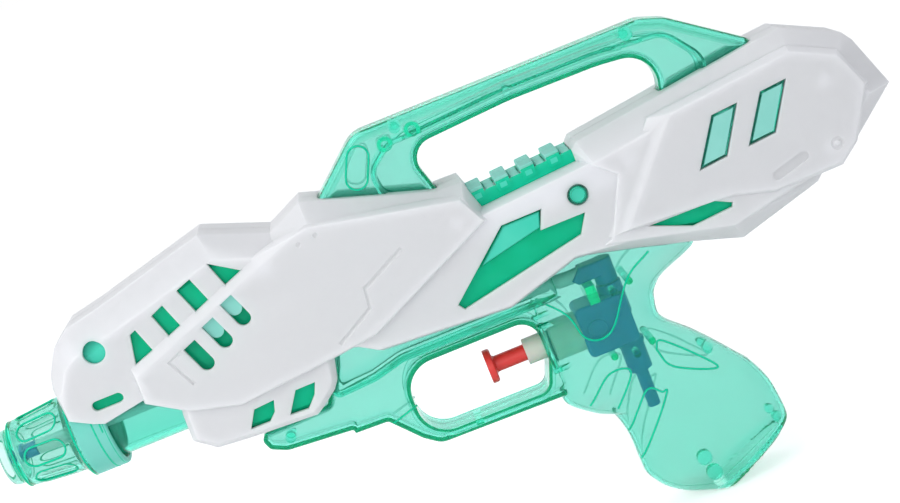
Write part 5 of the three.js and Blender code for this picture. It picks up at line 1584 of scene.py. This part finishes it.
def make_cap():
    ring_bore = CAP_RING_RADIUS - CAP_RING_WALL
    hole = NOZZLE_TIP_RADIUS + FIT_GAP
    front_hollow = CAP_FRONT_RADIUS - CAP_WALL - RECESS_ROOM
    rear_hollow = CAP_REAR_RADIUS - CAP_WALL - RECESS_ROOM
    rim = []
    for k in range(EDGE_STEPS + 1):
        angle = math.pi / 2 * k / EDGE_STEPS
        rise = (CAP_RING_WALL - CAP_RIM_FLAT) * math.sin(angle)
        rim.append((CAP_RIM_RUN * (1 - math.cos(angle)), ring_bore + CAP_RIM_FLAT + rise))
    profile = [
        (CAP_RING_DEPTH, hole), (CAP_RING_DEPTH, ring_bore), (0, ring_bore),
        *rim,
        (CAP_RING_LENGTH - CAP_WALL, CAP_RING_RADIUS), (CAP_RING_LENGTH, CAP_FRONT_RADIUS),
        (skirt_start - CAP_WALL, CAP_REAR_RADIUS), (skirt_start, skirt_radius - SKIRT_EDGE / 2),
        (skirt_start + SKIRT_EDGE / 2, skirt_radius), (skirt_end, skirt_radius), (skirt_end, skirt_bore),
        (cap_shoulder, skirt_bore), (cap_shoulder, rear_hollow), (cap_cavity_start, front_hollow),
        (cap_cavity_start, hole), (CAP_RING_DEPTH, hole),
    ]
    cap = turned(softened(profile, SKIRT_EDGE / 2, closed=True))
    cap = cut(cap, *[cap_recess(i) for i in range(RECESS_COUNT)])
    start = neck_thread_start + THREAD_PITCH / 2
    root, crest = skirt_bore + SKIRT_WALL / 2, skirt_bore - THREAD_DEPTH
    return joined(cap, thread(start, CAP_THREAD_TURNS, root, crest))


def make_cap_gasket():
    outer = skirt_bore - FIT_GAP
    profile = ring_profile(gasket_start, gasket_end, outer - GASKET_WIDTH, outer)
    return turned(softened(profile, GASKET_EDGE, closed=True))


def make_holder():
    rim = barrel_bore - FIT_GAP
    hub_bore = TUBE_RADIUS + FIT_GAP
    hub = hub_bore + HOLDER_HUB_WALL
    end = holder_start + HOLDER_DEPTH
    inner, outer = hub - HOLDER_HUB_WALL / 2, rim - HOLDER_RIM / 2
    half = HOLDER_SPOKE_WIDTH / 2
    profile = [
        (holder_start, rim - HOLDER_RIM), (holder_start, neck_radius),
        (holder_start + HOLDER_FLANGE, neck_radius), (holder_start + HOLDER_FLANGE, rim), (end, rim),
        (end, rim - HOLDER_RIM), (holder_start, rim - HOLDER_RIM),
    ]
    spokes = []
    for i in range(HOLDER_SPOKES):
        start, stop = holder_start + FIT_GAP / 2, end - FIT_GAP / 2
        spoke = block((start, inner, -half), (stop, outer, half))
        spoke.data.transform(Matrix.Rotation(2 * math.pi * i / HOLDER_SPOKES, 4, "X"))
        spokes.append(spoke)
    ring = turned(softened(profile, PLASTIC_EDGE, closed=True))
    middle = turned(softened(rod(holder_start, end, hub), PLASTIC_EDGE), sides=SMALL_SIDES)
    bore = turned(rod(0, end + FIT_GAP, hub_bore), sides=SMALL_SIDES)
    return cut(joined(ring, middle, *spokes), bore)


def make_nozzle():
    barb_end = nozzle_barb_start + BARB_LENGTH
    tip = nozzle_flange_start - NOZZLE_TIP_LENGTH
    profile = [
        (tip, JET_RADIUS), (tip, NOZZLE_TIP_RADIUS), (nozzle_flange_start, NOZZLE_TIP_RADIUS),
        (nozzle_flange_start, NOZZLE_FLANGE_RADIUS), (nozzle_shank_start, NOZZLE_FLANGE_RADIUS),
        (nozzle_shank_start, TUBE_RADIUS), (nozzle_barb_start, TUBE_RADIUS),
        (nozzle_barb_start, barb_radius), (barb_end, barb_radius), (barb_end, JET_RADIUS),
        (tip, JET_RADIUS),
    ]
    return turned(softened(profile, PLASTIC_EDGE, closed=True), sides=SMALL_SIDES)


def make_delivery_tube():
    tube_end = arm_end - FIT_GAP
    run = tube_end - neck_end
    route = [(tube_start, 0, 0), (neck_end, 0, 0)]
    route += [(neck_end + run * along, 0, arm_height * drop) for along, drop in TUBE_ROUTE]
    route += [(tube_end - BARB_LENGTH - ELBOW_ARM_RADIUS, 0, arm_height), (tube_end, 0, arm_height)]
    return swept(smooth_path(route, TUBE_STEPS), TUBE_RADIUS, PIN_SIDES, TUBE_BORE)


piece(make_cap(), "cap_form", ["front_cap"], "cap", "green_plastic", finish="green_cap")
# the cap's lines are a painted glow on its edges
piece(make_cap_lines(), "cap_lines", [], "cap", "green_plastic", finish="green_painted_glow")
# the skirt's skin is painted light over its shade
piece(make_cap_skin(), "cap_skin", [], "cap", "green_plastic", finish="green_painted_skirt_light")
piece(make_cap_gasket(), "cap_gasket_form", ["cap_gasket"], "cap_seal", "black_rubber")
piece(make_holder(), "nozzle_holder_form", ["nozzle_holder"], "gun", "natural_plastic")
piece(make_nozzle(), "nozzle_form", ["nozzle"], "gun", "blue_plastic")
piece(make_delivery_tube(), "delivery_tube_form", ["delivery_tube"], "gun", "clear_tube")

# Pump


def on_pump_axis(profile, sides=SMALL_SIDES):
    return turned(profile, "X", (0, 0, PUMP_AXIS), sides)


def on_valve_axis(profile, sides=SMALL_SIDES):
    return turned(profile, "Z", (valve_axis, 0, 0), sides)


def make_cylinder():
    guide = TRIGGER_STEM_RADIUS + FIT_GAP
    bore_start = cylinder_shoulder + CYLINDER_END_WALL
    profile = [
        (cylinder_nose, guide), (cylinder_nose, CYLINDER_NOSE_RADIUS),
        (cylinder_shoulder, CYLINDER_NOSE_RADIUS), (cylinder_shoulder, CYLINDER_RADIUS - CYLINDER_BEVEL),
        (cylinder_shoulder + CYLINDER_BEVEL, CYLINDER_RADIUS), (cylinder_end, CYLINDER_RADIUS),
        (cylinder_end, CYLINDER_BORE), (bore_start, CYLINDER_BORE), (bore_start, guide),
        (cylinder_nose, guide),
    ]
    return on_pump_axis(softened(profile, PLASTIC_EDGE, closed=True), LARGE_SIDES)


def make_cylinder_gasket():
    start = tank_front + FIT_GAP
    profile = ring_profile(start, start + CYLINDER_GASKET, CYLINDER_NOSE_RADIUS + FIT_GAP, CYLINDER_RADIUS)
    return on_pump_axis(softened(profile, PLASTIC_EDGE, closed=True))


def make_plunger():
    disc_front = disc_rear - TRIGGER_DISC_LENGTH
    groove_start = piston_front + (PISTON_LENGTH - SEAL_WIDTH) / 2
    groove_end = groove_start + SEAL_WIDTH
    groove = piston_radius - SEAL_DEPTH
    pin_end = piston_rear + SPRING_PIN_LENGTH
    profile = [
        (disc_front + TRIGGER_DISC_DISH, 0),
        (disc_front + TRIGGER_DISC_DISH, TRIGGER_DISC_RADIUS * TRIGGER_DISH_FLOOR),
        (disc_front, TRIGGER_DISC_RADIUS * TRIGGER_DISH_RIM), (disc_front, TRIGGER_DISC_RADIUS),
        (disc_rear, TRIGGER_DISC_RADIUS), (disc_rear, TRIGGER_STEM_RADIUS),
        (piston_front, TRIGGER_STEM_RADIUS), (piston_front, piston_radius), (groove_start, piston_radius),
        (groove_start, groove), (groove_end, groove), (groove_end, piston_radius),
        (piston_rear, piston_radius), (piston_rear, SPRING_PIN_RADIUS), (pin_end, SPRING_PIN_RADIUS),
        (pin_end, 0),
    ]
    return on_pump_axis(softened(profile, TRIGGER_EDGE), LARGE_SIDES)


def make_piston_seal():
    middle = (piston_front + piston_rear) / 2
    half = SEAL_WIDTH / 2 - SEAL_PLAY
    inner = piston_radius - SEAL_DEPTH + SEAL_PLAY
    profile = ring_profile(middle - half, middle + half, inner, CYLINDER_BORE - SEAL_PLAY)
    return on_pump_axis(softened(profile, PLASTIC_EDGE, closed=True))


def make_spring():
    first = spring_start + SPRING_WIRE
    run = spring_end - spring_start - 2 * SPRING_WIRE
    steps = SPRING_TURNS * SPRING_STEPS
    path = []
    for k in range(steps + 1):
        angle = 2 * math.pi * k / SPRING_STEPS
        y, z = SPRING_RADIUS * math.cos(angle), PUMP_AXIS + SPRING_RADIUS * math.sin(angle)
        path.append(Vector((first + run * k / steps, y, z)))
    return swept(path, SPRING_WIRE, SPRING_SIDES)


def make_pump_body():
    rear = block_front + BLOCK_LENGTH
    outline = rounded([
        (block_front, block_top, BLOCK_CORNER), (block_front, block_bottom, BLOCK_CORNER),
        (rear, block_bottom, BLOCK_CORNER), (rear, block_top, BLOCK_CORNER),
    ])
    boss_x = block_front + BOSS_BEHIND_FRONT
    boss_reach = BLOCK_HALF_WIDTH + BOSS_PROUD
    boss = softened(rod(-boss_reach, boss_reach, BOSS_RADIUS), PLASTIC_EDGE)
    socket_end = cylinder_end + FIT_GAP
    throat_bottom = outlet_throat_top - THROAT_LENGTH
    form = joined(
        soft_prism(outline, BLOCK_HALF_WIDTH, BLOCK_EDGE),
        turned(boss, "Y", (boss_x, 0, PUMP_AXIS), SMALL_SIDES),
        on_valve_axis(softened(rod(PUMP_AXIS, neck_top, VALVE_NECK_RADIUS), PLASTIC_EDGE)),
    )
    dish = BOSS_RADIUS - BOSS_DISH
    dishes = [pin(boss_x, PUMP_AXIS, dish, *span(side, boss_reach - BOSS_DISH, BEYOND)) for side in (-1, 1)]
    return cut(
        form,
        *dishes,
        on_pump_axis(rod(block_front - FIT_GAP, socket_end, CYLINDER_RADIUS + FIT_GAP)),
        on_pump_axis(rod(socket_end - FIT_GAP, chamber_end, CHAMBER_RADIUS)),
        on_pump_axis(rod(chamber_end - FIT_GAP, valve_axis, PASSAGE_RADIUS)),
        on_valve_axis(rod(block_bottom, throat_bottom + FIT_GAP, PASSAGE_RADIUS)),
        on_valve_axis(rod(throat_bottom, outlet_throat_top, THROAT_RADIUS)),
        on_valve_axis(rod(outlet_throat_top - FIT_GAP / 2, neck_top + FIT_GAP, cage_radius)),
        on_valve_axis(rod(block_bottom - FIT_GAP, spigot_top + FIT_GAP, spigot_radius + FIT_GAP)),
    )


def on_arm_axis(profile, sides=SMALL_SIDES):
    return turned(profile, "X", (0, 0, arm_height), sides)


def make_elbow():
    barb_end = arm_end - BARB_LENGTH
    sleeve_end = arm_end - ELBOW_SLEEVE_LENGTH
    half = ELBOW_SLEEVE_HALF
    low, high = arm_height - ELBOW_SLEEVE_DROP, elbow_top
    sleeve = [
        (sleeve_end, low + half / 2), (sleeve_end + half / 2, low), (valve_axis, low), (valve_axis, high),
        (sleeve_end + half, high),
    ]
    form = joined(
        soft_prism(sleeve, half, ELBOW_SLEEVE_EDGE),
        on_valve_axis(softened(rod(elbow_bottom, elbow_top, ELBOW_RADIUS), 2 * PLASTIC_EDGE)),
        on_arm_axis(softened(rod(arm_end, valve_axis, ELBOW_ARM_RADIUS), PLASTIC_EDGE)),
    )
    form = cut(form, on_arm_axis(rod(sleeve_end - FIT_GAP, arm_end, TUBE_RADIUS + FIT_GAP)))
    barb = softened(rod(barb_end, arm_end + FIT_GAP, barb_radius), PLASTIC_EDGE)
    return cut(
        joined(form, on_arm_axis(barb, LARGE_SIDES)),
        on_valve_axis(rod(elbow_bottom - FIT_GAP, arm_height, PASSAGE_RADIUS)),
        on_arm_axis(rod(barb_end - FIT_GAP, valve_axis, JET_RADIUS), PIN_SIDES),
    )


def make_inlet_fitting():
    socket = PIPE_RADIUS + FIT_GAP
    collar = STUB_RADIUS + STUB_COLLAR_PROUD
    profile = [
        (stub_bottom, socket), (stub_bottom, STUB_RADIUS), (stub_top, STUB_RADIUS), (stub_top, collar),
        (collar_top, collar), (collar_top, spigot_radius), (spigot_top, spigot_radius),
        (spigot_top, cage_radius), (inlet_throat_top, cage_radius), (inlet_throat_top, THROAT_RADIUS),
        (stub_bottom + PIPE_SOCKET, THROAT_RADIUS), (stub_bottom + PIPE_SOCKET, socket),
        (stub_bottom, socket),
    ]
    return on_valve_axis(softened(profile, PLASTIC_EDGE, closed=True))


def make_suction_pipe():
    profile = ring_profile(PIPE_END, stub_bottom + PIPE_SOCKET - FIT_GAP, PIPE_BORE, PIPE_RADIUS)
    return on_valve_axis(softened(profile, PLASTIC_EDGE, closed=True))


def make_ball(throat_top):
    return on_valve_axis(ball_profile(throat_top + ball_seat, BALL_RADIUS, BALL_STEPS))


piece(make_cylinder(), "pump_cylinder_form", ["pump_cylinder"], "gun", "natural_plastic")
piece(make_cylinder_gasket(), "cylinder_gasket_form", ["cylinder_gasket"], "gun", "black_rubber")
piece(make_plunger(), "trigger_form", ["trigger_plunger"], "trigger", "red_plastic")
piece(make_piston_seal(), "piston_seal_form", ["piston_seal"], "trigger", "black_rubber")
piece(make_pump_body(), "pump_body_form", ["pump_body"], "gun", "blue_plastic")
piece(make_elbow(), "outlet_elbow_form", ["outlet_elbow"], "gun", "blue_plastic")
piece(make_inlet_fitting(), "inlet_fitting_form", ["inlet_fitting"], "gun", "blue_plastic")
piece(make_suction_pipe(), "suction_pipe_form", ["suction_pipe"], "gun", "blue_plastic")
piece(make_ball(inlet_throat_top), "inlet_ball_form", ["inlet_ball"], "inlet_valve", "steel")
piece(make_ball(outlet_throat_top), "outlet_ball_form", ["outlet_ball"], "outlet_valve", "steel")
spring = piece(make_spring(), "trigger_spring_form", ["trigger_spring"], "gun", "steel")
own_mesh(spring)

# Studio
LAMP_TARGET = (0, 0, 0.12)
LAMPS = [  # name, place, size and power
    ("key", (-0.85, -0.75, 0.85), (0.8, 0.7), 5.0),
    ("top", (-0.45, 0.25, 1.1), (0.9, 0.8), 1.3),
    ("front", (-0.25, -1.2, 0.35), (0.9, 0.7), 2.4),
]
WHITE = (1, 1, 1, 1)
WORLD_TINT = (0.93, 0.95, 1.0, 1)
WORLD_STRENGTH = 0.6
FLOOR_TONE = (0.92, 0.92, 0.92, 1)
FLOOR_GLOW = 0.5
FLOOR_REACH = 40.0
CAMERA_TARGET = row(196.4, 0, 11)
CAMERA_DROP = math.radians(12.3)
CAMERA_DISTANCE = 0.745
CAMERA_ROLL = math.radians(22)
SENSOR_WIDTH = 36
FOCAL_LENGTH = 74.5
NEAREST_SEEN = 0.01


def soft_light(name, place, size, power):
    lamp = bpy.data.lights.new(name, "AREA")
    lamp.shape = "RECTANGLE"
    lamp.size, lamp.size_y = size
    lamp.energy = power
    holder = put_in_scene(name, lamp)
    holder.location = place
    holder.rotation_euler = (Vector(LAMP_TARGET) - Vector(place)).to_track_quat("-Z", "Y").to_euler()


def node_tree(owner):
    """The owner's nodes, emptied, and a way to add one that takes other nodes' results by input."""
    owner.use_nodes = True
    tree = owner.node_tree
    tree.nodes.clear()

    def add(kind, sources=(), **values):
        node = fill(tree.nodes.new(kind), **values)
        for into, source in sources:
            tree.links.new(source, node.inputs[into])
        return node

    return add


def background_rays(add):
    """1 for rays of the camera, of gloss and through glass."""
    path = add("ShaderNodeLightPath").outputs
    total = path["Is Camera Ray"]
    for name in ("Is Glossy Ray", "Is Transmission Ray"):
        either = add("ShaderNodeMath", [(0, total), (1, path[name])])
        either.operation = "MAXIMUM"
        total = either.outputs[0]
    return total


def make_world():
    """Soft light all round that looks white itself."""
    world = bpy.data.worlds.new("studio")
    bpy.context.scene.world = world
    add = node_tree(world)
    light = add("ShaderNodeBackground", Color=WORLD_TINT, Strength=WORLD_STRENGTH).outputs[0]
    white = add("ShaderNodeBackground", Color=WHITE, Strength=1.0).outputs[0]
    both = add("ShaderNodeMixShader", [("Fac", background_rays(add)), (1, light), (2, white)])
    add("ShaderNodeOutputWorld", [("Surface", both.outputs[0])])


def floor_material():
    """Paper that takes shadows and glows a little in the background."""
    material = bpy.data.materials.new("pale_floor")
    add = node_tree(material)
    strength = add("ShaderNodeMath", [(0, background_rays(add))])
    strength.operation = "MULTIPLY"
    strength.inputs[1].default_value = FLOOR_GLOW
    paper = add("ShaderNodeBsdfDiffuse", Color=FLOOR_TONE).outputs[0]
    glow = add("ShaderNodeEmission", [("Strength", strength.outputs[0])], Color=WHITE).outputs[0]
    both = add("ShaderNodeAddShader", [(0, paper), (1, glow)])
    add("ShaderNodeOutputMaterial", [("Surface", both.outputs[0])])
    return material


def make_floor():
    mesh = bpy.data.meshes.new("floor")
    corners = [(-1, -1), (1, -1), (1, 1), (-1, 1)]
    mesh.from_pydata([(x * FLOOR_REACH, y * FLOOR_REACH, 0) for x, y in corners], [], [(0, 1, 2, 3)])
    mesh.materials.append(floor_material())
    put_in_scene("floor", mesh)


def make_camera():
    lens = bpy.data.cameras.new("camera")
    lens.sensor_width = SENSOR_WIDTH
    lens.lens = FOCAL_LENGTH
    lens.clip_start = NEAREST_SEEN
    camera = put_in_scene("camera", lens)
    back = Vector((0, -math.cos(CAMERA_DROP), math.sin(CAMERA_DROP)))
    camera.matrix_world = (
        Matrix.Translation(CAMERA_TARGET + back * CAMERA_DISTANCE)
        @ Matrix.Rotation(math.pi / 2 - CAMERA_DROP, 4, "X")
        @ Matrix.Rotation(-CAMERA_ROLL, 4, "Z")
    )
    bpy.context.scene.camera = camera


make_world()
make_floor()
for lamp in LAMPS:
    soft_light(*lamp)
make_camera()
bpy.context.scene.view_settings.view_transform = "Standard"
